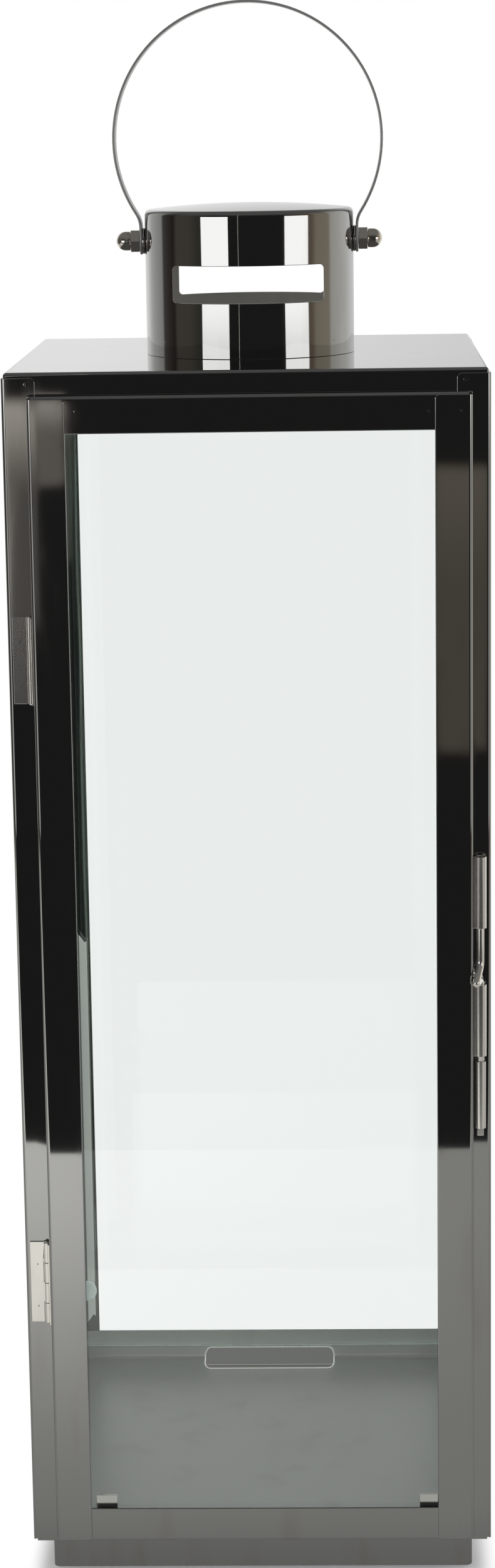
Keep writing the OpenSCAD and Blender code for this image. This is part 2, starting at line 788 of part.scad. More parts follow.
module door_rail_top() {
    color(steel) translate([0, 0, door_z0 + door_z1]) mirror([0, 0, 1]) rail();
}

module door_glass() {
    side = sheet_t + door_glass_side_gap;
    z0 = door_z0 + sheet_t + clip_t;
    z1 = door_z1 - sheet_t - clip_t;
    color(clear_glass) translate([door_x0 + side, door_glass_front, z0])
        cube([door_x1 - door_x0 - 2 * side, glass_t, z1 - z0]);
}

// Two folded clips that stand on the bottom rail's fold and reach up behind the pane
module clip_pair(leg_h) {
    for (x = [door_x0 + member_w + clip_offset_hinge, door_x1 - member_w - clip_offset_latch - clip_w])
        along_x(x, x + clip_w) translate([door_glass_back + clip_t, door_z0 + sheet_t]) mirror([1, 0])
            angle_outline(glass_t + clip_t - bend_r, leg_h, clip_t, clip_fold_r);
}

module glass_clips_lower() {
    color(nickel) clip_pair(member_w - sheet_t + clip_show);
}

module glass_clips_upper() {
    color(nickel) translate([0, 0, door_z0 + door_z1]) mirror([0, 0, 1])
        clip_pair(member_w - sheet_t - upper_clip_hide);
}

module bumper_dot() {
    color(clear_glass) translate([door_x0 + member_w, door_glass_back, foot_z + bumper_z])
        rotate([-90, 0, 0]) cylinder(d = bumper_d, h = bumper_t);
}

// Slide bolt ------------------------------------------------------------------

// Tube on the bolt's axis with a square foot towards -X, on the door's folded edge
module sleeve(z0, z1) {
    difference() {
        union() {
            translate([bolt_x, bolt_y, z0]) cylinder(d = sleeve_d, h = z1 - z0);
            translate([door_x1, bolt_y - foot_w / 2, z0]) cube([bolt_x - door_x1, foot_w, z1 - z0]);
        }
        translate([bolt_x, bolt_y, z0 - over]) cylinder(d = bolt_bore_d, h = z1 - z0 + 2 * over);
    }
}

module bolt_sleeve_upper() { color(nickel) sleeve(sleeve_upper_z0, sleeve_upper_z1); }
module bolt_sleeve_lower() { color(nickel) sleeve(sleeve_lower_z0, sleeve_lower_z1); }

// Tube with a foot on the post's face and a tab below it
module bolt_keeper() {
    tab_t = -half - bolt_y - keeper_d / 2 + keeper_tab_lap;
    color(nickel) difference() {
        union() {
            translate([bolt_x, bolt_y, keeper_z0]) cylinder(d = keeper_d, h = keeper_len);
            translate([bolt_x - foot_w / 2, bolt_y, keeper_z0]) cube([foot_w, -half - bolt_y, keeper_len]);
            translate([bolt_x - foot_w / 2, -half - tab_t, keeper_z0 - keeper_tab])
                cube([foot_w, tab_t, keeper_tab + over]);
        }
        translate([bolt_x, bolt_y, keeper_z0]) cylinder(d = bolt_bore_d, h = keeper_len + over);
    }
}

// One leg of the rod's thumb bend, from the axis at height z to the tip
module thumb_leg(z) {
    hull() {
        translate([bolt_x, bolt_y, z]) sphere(d = thumb_d);
        translate([bolt_x - thumb_side, bolt_y - thumb_reach, thumb_tip_z]) sphere(d = thumb_d);
    }
}

// Round rod that is bent forward and over the door's edge between the two sleeves
module bolt_rod() {
    color(nickel) {
        translate([bolt_x, bolt_y, rod_z0]) cylinder(d = bolt_d, h = thumb_z0 - rod_z0);
        translate([bolt_x, bolt_y, thumb_z1]) cylinder(d = bolt_d, h = rod_z1 - thumb_z1);
        thumb_leg(thumb_z0);
        thumb_leg(thumb_z1);
    }
}

roof_pan();
post_front_left();
post_front_right();
post_rear_left();
post_rear_right();
floor_pan();
plinth();
glass_left();
glass_right();
glass_rear();
retainer_front_left();
retainer_front_right();
retainer_rear_left();
retainer_rear_right();
chimney_tube();
chimney_cap();
pivot_bolt_left();
pivot_bolt_right();
spacer_left();
spacer_right();
cap_nut_left();
cap_nut_right();
upper_hinge_frame_leaf();
lower_hinge_frame_leaf();
upper_hinge_pin();
lower_hinge_pin();
bolt_keeper();
door_stile_hinge();
door_stile_latch();
door_rail_top();
door_rail_bottom();
door_glass();
glass_clips_lower();
glass_clips_upper();
bumper_dot();
upper_hinge_door_leaf();
lower_hinge_door_leaf();
bolt_sleeve_upper();
bolt_sleeve_lower();
bolt_rod();
handle_strip();
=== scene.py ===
"""Looks of a floor-standing candle lantern: mirror-bright sheet, clear panes, nickel fittings.

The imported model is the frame. Its sheet parts are shown by copies with rounded cut edges, and
the small turned or bent parts are modelled again in their places. Metres throughout.
"""

from __future__ import annotations

import json
import logging
from collections.abc import Callable
from dataclasses import dataclass
from enum import Enum
from math import asin, atan2, copysign, cos, inf, radians, sin, sqrt, tau

import bmesh
import bpy
from bmesh import ops
from bmesh.types import BMEdge, BMesh
from bpy.types import Material, MeshPolygon, Node, NodeSocket, NodeTree, Object
from mathutils import Matrix, Vector

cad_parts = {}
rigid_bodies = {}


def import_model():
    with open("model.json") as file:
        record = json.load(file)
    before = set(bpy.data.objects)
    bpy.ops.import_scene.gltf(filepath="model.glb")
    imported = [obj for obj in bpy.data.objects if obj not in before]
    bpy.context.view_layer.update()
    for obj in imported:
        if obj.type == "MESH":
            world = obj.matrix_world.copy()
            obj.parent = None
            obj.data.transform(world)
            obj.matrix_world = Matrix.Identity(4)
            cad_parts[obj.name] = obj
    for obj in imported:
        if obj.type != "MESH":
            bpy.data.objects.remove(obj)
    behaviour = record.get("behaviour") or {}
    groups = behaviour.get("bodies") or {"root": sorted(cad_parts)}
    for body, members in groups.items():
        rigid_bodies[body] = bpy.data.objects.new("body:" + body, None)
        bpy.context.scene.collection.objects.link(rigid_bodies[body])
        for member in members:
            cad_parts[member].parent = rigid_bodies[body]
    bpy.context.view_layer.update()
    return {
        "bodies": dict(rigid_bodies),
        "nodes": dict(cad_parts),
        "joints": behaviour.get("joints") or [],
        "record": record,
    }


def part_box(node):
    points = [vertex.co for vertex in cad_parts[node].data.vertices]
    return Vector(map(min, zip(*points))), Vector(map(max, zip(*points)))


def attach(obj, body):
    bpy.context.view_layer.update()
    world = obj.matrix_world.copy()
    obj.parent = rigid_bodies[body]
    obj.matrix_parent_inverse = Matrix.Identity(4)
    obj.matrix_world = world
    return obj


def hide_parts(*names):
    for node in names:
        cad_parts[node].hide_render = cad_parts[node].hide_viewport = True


logging.basicConfig(level=logging.INFO, format="%(message)s")
LOG = logging.getLogger("lantern")

RGB = tuple[float, float, float]
Point = tuple[float, float, float]
Span = tuple[float, float]
Mark = tuple[Point, Point]

MM = 0.001
# Points of a new shape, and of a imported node's copy, that are this close are one point
SAME_POINT = 1e-7
MERGE = 1e-6
# Degrees between two faces: below FLAT they are one face, above KEEN their edge is rounded over
FLAT = 0.5
KEEN = 50.0
QUARTER = radians(90)
# Splits a count of zero from a count of one or more
ONCE = 0.5
FORWARD: Point = (0.0, -1.0, 0.0)
WHITE: RGB = (1.0, 1.0, 1.0)


class Body(Enum):
    """The bodies that a piece can ride on."""

    FRAME = "frame"
    DOOR = "door"
    BOLT = "bolt"
    HANDLE = "handle"


class Slot(Enum):
    """The record's material slots."""

    SHEET = "polished_sheet"
    BRIGHT = "bright_nickel"
    WARM = "warm_nickel"
    GLASS = "clear_glass"
    BUMPER = "clear_bumper"


class Side(Enum):
    """Left and right as seen from the front."""

    LEFT = -1
    RIGHT = 1


# Shader trees --------------------


class ShaderSheet:
    """A node tree that is filled step by step."""

    def __init__(self, tree: NodeTree) -> None:
        """Empties the tree of a material or a world."""
        self.tree = tree
        tree.nodes.clear()

    def node(self, kind: str, **sockets: object) -> Node:
        """Adds a node and sets its sockets.

        Args:
            kind: The node's type without "ShaderNode".
            sockets: A value or an output socket by input name, with _ for a space.

        Returns:
            The new node.
        """
        made = self.tree.nodes.new("ShaderNode" + kind)
        for name, value in sockets.items():
            self.feed(made.inputs[name.replace("_", " ")], value)
        return made

    def feed(self, socket: NodeSocket, value: object) -> None:
        """Links an output to a socket, or sets the socket's own value.

        Args:
            socket: The input socket.
            value: An output socket, a number or a colour.
        """
        if isinstance(value, NodeSocket):
            self.tree.links.new(value, socket)
        elif socket.type == "RGBA" and len(value) == 3:
            socket.default_value = (*value, 1.0)
        else:
            socket.default_value = value

    def place(self) -> NodeSocket:
        """Returns the place on the piece, in the model's frame."""
        return self.node("TexCoord").outputs["Object"]

    def math(self, operation: str, *values: object) -> NodeSocket:
        """Adds a Math node.

        Args:
            operation: The operation's name in Blender.
            values: Its values or output sockets, in order.

        Returns:
            The node's output.
        """
        made = self.tree.nodes.new("ShaderNodeMath")
        made.operation = operation
        for socket, value in zip(made.inputs, values):
            self.feed(socket, value)
        return made.outputs[0]

    def ramp(self, value: object, span: Span, out: Span = (0.0, 1.0)) -> NodeSocket:
        """Maps a value smoothly from one span to another, clamped.

        Args:
            value: What is mapped.
            span: The span that is read.
            out: What its start and its end give.

        Returns:
            The mapped output.
        """
        made = self.node("MapRange", Value=value, From_Min=span[0], From_Max=span[1])
        made.inputs["To Min"].default_value, made.inputs["To Max"].default_value = out
        made.interpolation_type = "SMOOTHSTEP"
        return made.outputs["Result"]

    def blend(self, factor: object, first: object, second: object) -> NodeSocket:
        """Mixes two colours.

        Args:
            factor: 0 for the first and 1 for the second.
            first: A colour or output socket.
            second: A colour or output socket.

        Returns:
            The mixed colour.
        """
        made = self.tree.nodes.new("ShaderNodeMix")
        made.data_type = "RGBA"
        self.feed(made.inputs[0], factor)
        self.feed(made.inputs[6], first)
        self.feed(made.inputs[7], second)
        return made.outputs[2]

    def either(self, factor: object, first: Node, second: Node) -> Node:
        """Mixes two shaders.

        Args:
            factor: 0 for the first and 1 for the second.
            first: The first shader's node.
            second: The second shader's node.

        Returns:
            The mixing node.
        """
        made = self.node("MixShader", Fac=factor)
        self.feed(made.inputs[1], first.outputs[0])
        self.feed(made.inputs[2], second.outputs[0])
        return made

    def noise(self, place: object, scale: float, detail: float) -> NodeSocket:
        """Adds a Noise texture and returns its factor."""
        return self.node("TexNoise", Vector=place, Scale=scale, Detail=detail).outputs[0]

    def bump(self, height: object, distance: float, strength: float = 1.0) -> NodeSocket:
        """Adds a Bump node and returns its normal."""
        return self.node("Bump", Strength=strength, Distance=distance, Height=height).outputs[0]

    def bounces(self) -> NodeSocket:
        """Returns how often the ray was mirrored or scattered on its way."""
        path = self.node("LightPath")
        return self.math("ADD", path.outputs["Glossy Depth"], path.outputs["Diffuse Depth"])

    def seen_straight(self) -> NodeSocket:
        """Returns 1 for what is seen directly or through glass, and 0 for what metal mirrors."""
        return self.math("LESS_THAN", self.bounces(), ONCE)


def new_material(name: str) -> tuple[Material, ShaderSheet]:
    """Makes a material with an empty tree.

    Args:
        name: The material's name.

    Returns:
        The material and its tree.
    """
    made = bpy.data.materials.new(name)
    made.use_nodes = True
    return made, ShaderSheet(made.node_tree)


# Finishes --------------------


@dataclass(frozen=True)
class MirrorFinish:
    """Mirror-bright to satin metal with the faint waves and hazy smears of thin sheet."""

    name: str
    colour: RGB
    haze_colour: RGB
    roughness: float
    wave_scale: float
    wave_height: float = 0.0001
    haze: float = 0.05
    metal: float = 1.0
    smear_stretch: Point = (3.0, 3.0, 0.6)
    smear_scale: float = 22.0
    smear_range: Span = (0.52, 0.78)

    def make(self) -> Material:
        """Makes the metal's material.

        Returns:
            The material, with shallow waves and hazy wipe marks.
        """
        made, sheet = new_material(self.name)
        place = sheet.place()
        waves = sheet.noise(place, self.wave_scale, 1.0)
        wipe = sheet.node("Mapping", Vector=place, Scale=self.smear_stretch).outputs[0]
        haze = sheet.ramp(sheet.noise(wipe, self.smear_scale, 5.0), self.smear_range)
        skin = sheet.node(
            "BsdfPrincipled",
            Base_Color=sheet.blend(haze, self.colour, self.haze_colour),
            Metallic=self.metal,
            Roughness=sheet.math("MULTIPLY_ADD", haze, self.haze, self.roughness),
            Normal=sheet.bump(waves, self.wave_height),
        )
        sheet.node("OutputMaterial", Surface=skin.outputs[0])
        return made


@dataclass(frozen=True)
class ClearFinish:
    """Clear pane glass that turns green with depth and lets light pass straight through."""

    name: str
    colour: RGB
    depth_colour: RGB
    density: float
    refraction: float
    wave_scale: float = 6.0
    wave_height: float = 0.00002

    def make(self) -> Material:
        """Makes the glass's material.

        Returns:
            The material: glass to the camera's rays, open to shadow and bounced rays.
        """
        made, sheet = new_material(self.name)
        waves = sheet.noise(sheet.place(), self.wave_scale, 1.0)
        skin = sheet.node(
            "BsdfPrincipled",
            Base_Color=self.colour,
            Roughness=0.0,
            IOR=self.refraction,
            Transmission_Weight=1.0,
            Normal=sheet.bump(waves, self.wave_height),
        )
        depth = sheet.node("VolumeAbsorption", Color=self.depth_colour, Density=self.density)
        shadow = sheet.node("LightPath").outputs["Is Shadow Ray"]
        bounced = sheet.math("GREATER_THAN", sheet.bounces(), ONCE)
        open_way = sheet.node("BsdfTransparent", Color=self.colour)
        both = sheet.either(sheet.math("MAXIMUM", shadow, bounced), skin, open_way)
        sheet.node("OutputMaterial", Surface=both.outputs[0], Volume=depth.outputs[0])
        return made


@dataclass(frozen=True)
class CloudyFinish:
    """Half-clear material with a fine grain: a pane's ground edges, or soft plastic."""

    name: str
    colour: RGB
    shade: float
    roughness: float
    refraction: float
    clearness: float
    grain_scale: float
    grain_range: Span
    grain_strength: float = 0.0
    grain_height: float = 0.00002

    def make(self) -> Material:
        """Makes the cloudy material.

        Returns:
            The material, with its grain.
        """
        made, sheet = new_material(self.name)
        grain = sheet.noise(sheet.place(), self.grain_scale, 3.0)
        darker = tuple(self.shade * channel for channel in self.colour)
        skin = sheet.node(
            "BsdfPrincipled",
            Base_Color=sheet.blend(sheet.ramp(grain, self.grain_range), self.colour, darker),
            Roughness=self.roughness,
            IOR=self.refraction,
            Transmission_Weight=self.clearness,
        )
        if self.grain_strength:
            rough = sheet.bump(grain, self.grain_height, self.grain_strength)
            sheet.feed(skin.inputs["Normal"], rough)
        sheet.node("OutputMaterial", Surface=skin.outputs[0])
        return made


class FinishSet:
    """All finishes of the lantern, made once."""

    def __init__(self) -> None:
        """Makes the materials."""
        dark: tuple[RGB, RGB] = ((0.43, 0.43, 0.425), (0.40, 0.39, 0.38))
        self.sheet = MirrorFinish(
            "black_nickel_sheet", *dark, roughness=0.03, wave_scale=10.0, wave_height=0.0002
        ).make()
        # Floor of the pan: a rougher satin copy of the sheet, darker in colour: painted shade
        self.floor_painted_shade = MirrorFinish(
            "black_nickel_floor_painted_shade", (0.305, 0.312, 0.30), (0.29, 0.295, 0.285),
            roughness=0.36, wave_scale=14.0, haze=0.06, metal=0.58,
        ).make()
        # Retainer strips: a pale satin copy of the sheet, painted light, and a darker copy for the
        # rear strips' legs past the fold, painted shade
        self.strip = MirrorFinish(
            "satin_strip_painted_light", (0.88, 0.90, 0.87), (0.82, 0.84, 0.81),
            roughness=0.75, wave_scale=14.0, metal=0.6,
        ).make()
        self.strip_fold_shade = MirrorFinish(
            "satin_strip_painted_shade", (0.29, 0.31, 0.30), (0.27, 0.29, 0.28),
            roughness=0.60, wave_scale=14.0, metal=0.7,
        ).make()
        # Air slot's rim: a pale finish much lighter than the sheet: painted highlight on the cut
        # edge
        self.slot_edge_highlight = MirrorFinish(
            "slot_edge_highlight", (0.95, 0.935, 0.90), (0.90, 0.885, 0.85),
            roughness=0.30, wave_scale=60.0, wave_height=0.00004, metal=0.3,
        ).make()
        # Upturned rails of the pan: a much paler copy of the sheet: painted light
        self.upstand_painted_light = MirrorFinish(
            "satin_upstand_painted_light", (0.84, 0.84, 0.83), (0.80, 0.80, 0.79), roughness=0.75, wave_scale=14.0
        ).make()
        # Inner faces of the chimney tube: a rougher, warmer, less metallic copy of the chimney
        # sheet, so that the inside reads lighter through the vents: painted light
        self.chimney_inner_painted_light = MirrorFinish(
            "chimney_inside", (0.40, 0.385, 0.36), (0.34, 0.325, 0.30),
            roughness=0.55, wave_scale=30.0, haze=0.1, metal=0.35,
        ).make()
        self.handle = MirrorFinish(
            "handle_sheet", *dark,
            roughness=0.30, wave_scale=60.0, wave_height=0.00004, haze=0.10, metal=0.75,
        ).make()
        self.clip = MirrorFinish(
            "clip_plate", (0.92, 0.90, 0.86), (0.85, 0.83, 0.79),
            roughness=0.06, wave_scale=60.0, wave_height=0.00004,
        ).make()
        self.chimney = MirrorFinish("chimney_sheet", *dark, roughness=0.035, wave_scale=9.0).make()
        self.bright = MirrorFinish(
            "bright_nickel_plate", (0.96, 0.93, 0.885), (0.88, 0.85, 0.81),
            roughness=0.20, wave_scale=60.0, wave_height=0.00006, haze=0.10,
        ).make()
        self.warm = MirrorFinish(
            "warm_nickel_plate", (0.85, 0.80, 0.73), (0.72, 0.68, 0.62),
            roughness=0.12, wave_scale=90.0, wave_height=0.00004, haze=0.10,
        ).make()
        self.glass = ClearFinish(
            "float_glass", (0.985, 0.995, 0.99), (0.62, 0.90, 0.80), density=9.0, refraction=1.5
        ).make()
        self.edge = CloudyFinish(
            "ground_glass_edge", (0.55, 0.72, 0.66),
            shade=0.8, roughness=0.35, refraction=1.5, clearness=0.6,
            grain_scale=1400.0, grain_range=(0.3, 0.7), grain_strength=0.4,
        ).make()
        self.dot = CloudyFinish(
            "clear_soft_dot", (0.70, 0.79, 0.77),
            shade=0.9, roughness=0.22, refraction=1.45, clearness=0.35,
            grain_scale=260.0, grain_range=(0.35, 0.7),
        ).make()


# Mesh work --------------------


def corners(node: str) -> tuple[Vector, Vector]:
    """Returns the lowest and the highest corner of a node's box."""
    low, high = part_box(node)
    return Vector(low), Vector(high)


def quarter_arc(steps: int) -> list[float]:
    """Returns the angles of a quarter turn in equal steps, with both ends."""
    return [radians(90 / steps * i) for i in range(steps + 1)]


def round_edges(shape: BMesh, edges: list, reach: float, segments: int) -> None:
    """Rounds edges over.

    Args:
        shape: The bmesh that the edges are part of.
        edges: The edges to round.
        reach: How far the round reaches from the edge on either side.
        segments: How many strips of faces the round has.
    """
    ops.bevel(
        shape, geom=edges, offset=reach, segments=segments, profile=0.5, affect="EDGES", material=-1
    )


def as_object(shape: BMesh, name: str) -> Object:
    """Puts a bmesh into the scene as an object, and frees it.

    Args:
        shape: The finished bmesh.
        name: The object's name.

    Returns:
        The new object.
    """
    mesh = bpy.data.meshes.new(name)
    shape.to_mesh(mesh)
    shape.free()
    made = bpy.data.objects.new(name, mesh)
    bpy.context.scene.collection.objects.link(made)
    return made


def settle(
    shape: BMesh,
    name: str,
    body: Body,
    finish: Material,
    smooth: float = 35.0,
) -> Object:
    """Turns a bmesh into a piece that rides on a body.

    Args:
        shape: The finished bmesh, in the model's frame.
        name: The piece's name.
        body: The body that it rides on.
        finish: Its material.
        smooth: Edges sharper than this many degrees stay sharp.

    Returns:
        The piece's object.
    """
    ops.remove_doubles(shape, verts=shape.verts, dist=SAME_POINT)
    ops.recalc_face_normals(shape, faces=shape.faces)
    for face in shape.faces:
        face.smooth = True
    for edge in shape.edges:
        edge.smooth = edge.calc_face_angle(QUARTER) < radians(smooth)
    piece = as_object(shape, name)
    piece.data.materials.append(finish)
    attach(piece, body.value)
    LOG.info("%s: %d faces on %s", name, len(piece.data.polygons), body.value)
    return piece


def add_finish(
    piece: Object,
    finish: Material,
    chosen: Callable[[MeshPolygon], bool],
) -> None:
    """Gives some of a piece's faces a second finish.

    Args:
        piece: The piece.
        finish: The second material.
        chosen: Says of a face whether it gets it.
    """
    piece.data.materials.append(finish)
    for face in piece.data.polygons:
        if chosen(face):
            face.material_index = 1


def turned(profile: list[Span], steps: int, shape: BMesh | None = None) -> BMesh:
    """Spins a half section about the X axis.

    Args:
        profile: Points as (along X, radius), from one end to the other.
        steps: Number of steps of the full turn.
        shape: The bmesh that grows by it, or None for a new one.

    Returns:
        The bmesh with the turned form.
    """
    shape = shape or bmesh.new()
    ring = [shape.verts.new((x, 0.0, r)) for x, r in profile]
    edges = [shape.edges.new(pair) for pair in zip(ring, ring[1:])]
    ops.spin(
        shape, geom=ring + edges, axis=(1.0, 0.0, 0.0), angle=tau, steps=steps, use_merge=True
    )
    ops.remove_doubles(shape, verts=shape.verts, dist=SAME_POINT)
    return shape


def rounded_end(end: float, radius: float, soft: float, steps: int) -> list[Span]:
    """Returns a disc's rounded rim as (along X, radius), from its wall to its end face."""
    wall, flat = end - soft, radius - soft
    return [(wall + soft * sin(a), flat + soft * cos(a)) for a in quarter_arc(steps)]


def block(low: Vector, high: Vector) -> BMesh:
    """Makes a box between two corners.

    Args:
        low: Its lowest corner.
        high: Its highest corner.

    Returns:
        The box's bmesh.
    """
    shape = bmesh.new()
    place = Matrix.Translation((low + high) / 2) @ Matrix.Diagonal((*(high - low), 1.0))
    ops.create_cube(shape, size=1.0, matrix=place)
    return shape


def sweep(
    stations: list[tuple[Vector, float]], facing: Vector, sides: int, closed: bool = False
) -> BMesh:
    """Sweeps a circle along a line without twisting it.

    Args:
        stations: Each ring's middle and radius.
        facing: A direction that the line never runs along.
        sides: Number of sides of the rings.
        closed: Whether the last ring meets the first.

    Returns:
        The swept bmesh.
    """
    shape = bmesh.new()
    rings = []
    last = len(stations) - 1
    for i, (centre, radius) in enumerate(stations):
        after = stations[(i + 1) % len(stations)] if closed else stations[min(i + 1, last)]
        before = stations[i - 1] if closed else stations[max(i - 1, 0)]
        along = (after[0] - before[0]).normalized()
        across = (facing - along * facing.dot(along)).normalized()
        turn = Matrix((across, along.cross(across), along)).transposed().to_4x4()
        place = Matrix.Translation(centre) @ turn
        ring = ops.create_circle(shape, segments=sides, radius=radius, matrix=place)
        rings.append(ring["verts"])
    followers = rings[1:] + rings[:1] if closed else rings[1:]
    for one, other in zip(rings, followers):
        for j in range(sides):
            k = (j + 1) % sides
            shape.faces.new((one[j], one[k], other[k], other[j]))
    if not closed:
        shape.faces.new(rings[0])
        shape.faces.new(rings[-1])
    return shape


def cut_at(shape: BMesh, point: Point, normal: Point, clear: bool) -> list:
    """Cuts a bmesh at a plane.

    Args:
        shape: The bmesh to cut.
        point: A point of the plane.
        normal: The plane's normal, towards the outer part.
        clear: Whether the outer part is taken away.

    Returns:
        The vertices and edges that lie on the cut.
    """
    parts = shape.verts[:] + shape.edges[:] + shape.faces[:]
    plane = {"plane_co": point, "plane_no": normal, "dist": SAME_POINT}
    return ops.bisect_plane(shape, geom=parts, clear_outer=clear, **plane)["geom_cut"]


# Sub-assemblies --------------------


@dataclass
class SubAssembly:
    """What every group of pieces shares."""

    nodes: dict[str, Object]
    looks: FinishSet
    pane_rim: float = 0.35 * MM
    mark_depth: float = 0.06

    def dress(self, names: tuple[str, ...], finish: Material) -> None:
        """Gives nodes of the frame their finish.

        Args:
            names: The nodes' names.
            finish: The material.
        """
        for name in names:
            materials = self.nodes[name].data.materials
            materials.clear()
            materials.append(finish)
            LOG.info("%s: %s", name, finish.name)

    def pane(self, name: str, node: str, body: Body) -> None:
        """Makes a pane with ground, bevelled edges in the place of a plain one.

        Args:
            name: The new piece's name.
            node: The node that it stands for.
            body: The body that it rides on.
        """
        low, high = corners(node)
        shape = block(low, high)
        round_edges(shape, shape.edges[:], self.pane_rim, 2)
        piece = settle(shape, name, body, self.looks.glass, 5.0)
        thin = min(range(3), key=lambda axis: high[axis] - low[axis])
        add_finish(piece, self.looks.edge, lambda face: abs(face.normal[thin]) < 0.3)
        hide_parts(node)

    def soften(
        self,
        names: tuple[str, ...],
        body: Body,
        slot: Slot,
        finish: Material,
        rim: float,
        below: float = inf,
        reshape: Callable[[BMesh], None] | None = None,
    ) -> list[Object]:
        """Stands in for nodes with copies whose cut edges are rounded over.

        Args:
            names: The nodes' names.
            body: Their body.
            slot: Their slot in the record; not used.
            finish: Their material.
            rim: How far the rounding reaches from each edge.
            below: Edges above this height stay as they are.
            reshape: Changes the sharp copy before its edges are rounded.

        Returns:
            The new pieces.
        """
        pieces = []
        for name in names:
            shape = bmesh.new()
            shape.from_mesh(self.nodes[name].data)
            ops.remove_doubles(shape, verts=shape.verts, dist=MERGE)
            limits = {"angle_limit": radians(FLAT), "delimit": {"NORMAL"}}
            ops.dissolve_limit(shape, verts=shape.verts, edges=shape.edges, **limits)
            if reshape:
                reshape(shape)
            keen = [
                edge
                for edge in shape.edges
                if edge.calc_face_angle(0.0) > radians(KEEN)
                and max(vert.co.z for vert in edge.verts) < below
            ]
            round_edges(shape, keen, rim, 3)
            piece = settle(shape, name + "_rounded", body, finish)
            flats = piece.modifiers.new("flats_stay_flat", "WEIGHTED_NORMAL")
            flats.keep_sharp = True
            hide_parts(name)
            pieces.append(piece)
        return pieces

    def weld_marks(self, name: str, body: Body, spots: list[Mark], radius: float) -> None:
        """Sets shallow spot-weld marks on sheet faces.

        Args:
            name: The piece's name.
            body: The body that the sheets belong to.
            spots: Centre and outward direction of each mark.
            radius: Radius of a mark.
        """
        flatten = Matrix.Diagonal((1.0, 1.0, self.mark_depth, 1.0))
        marks = bmesh.new()
        for centre, outward in spots:
            turn = Vector(outward).to_track_quat("Z", "Y").to_matrix().to_4x4()
            place = Matrix.Translation(centre) @ turn @ flatten
            ops.create_uvsphere(marks, u_segments=20, v_segments=10, radius=radius, matrix=place)
        settle(marks, name, body, self.looks.sheet, 60.0)


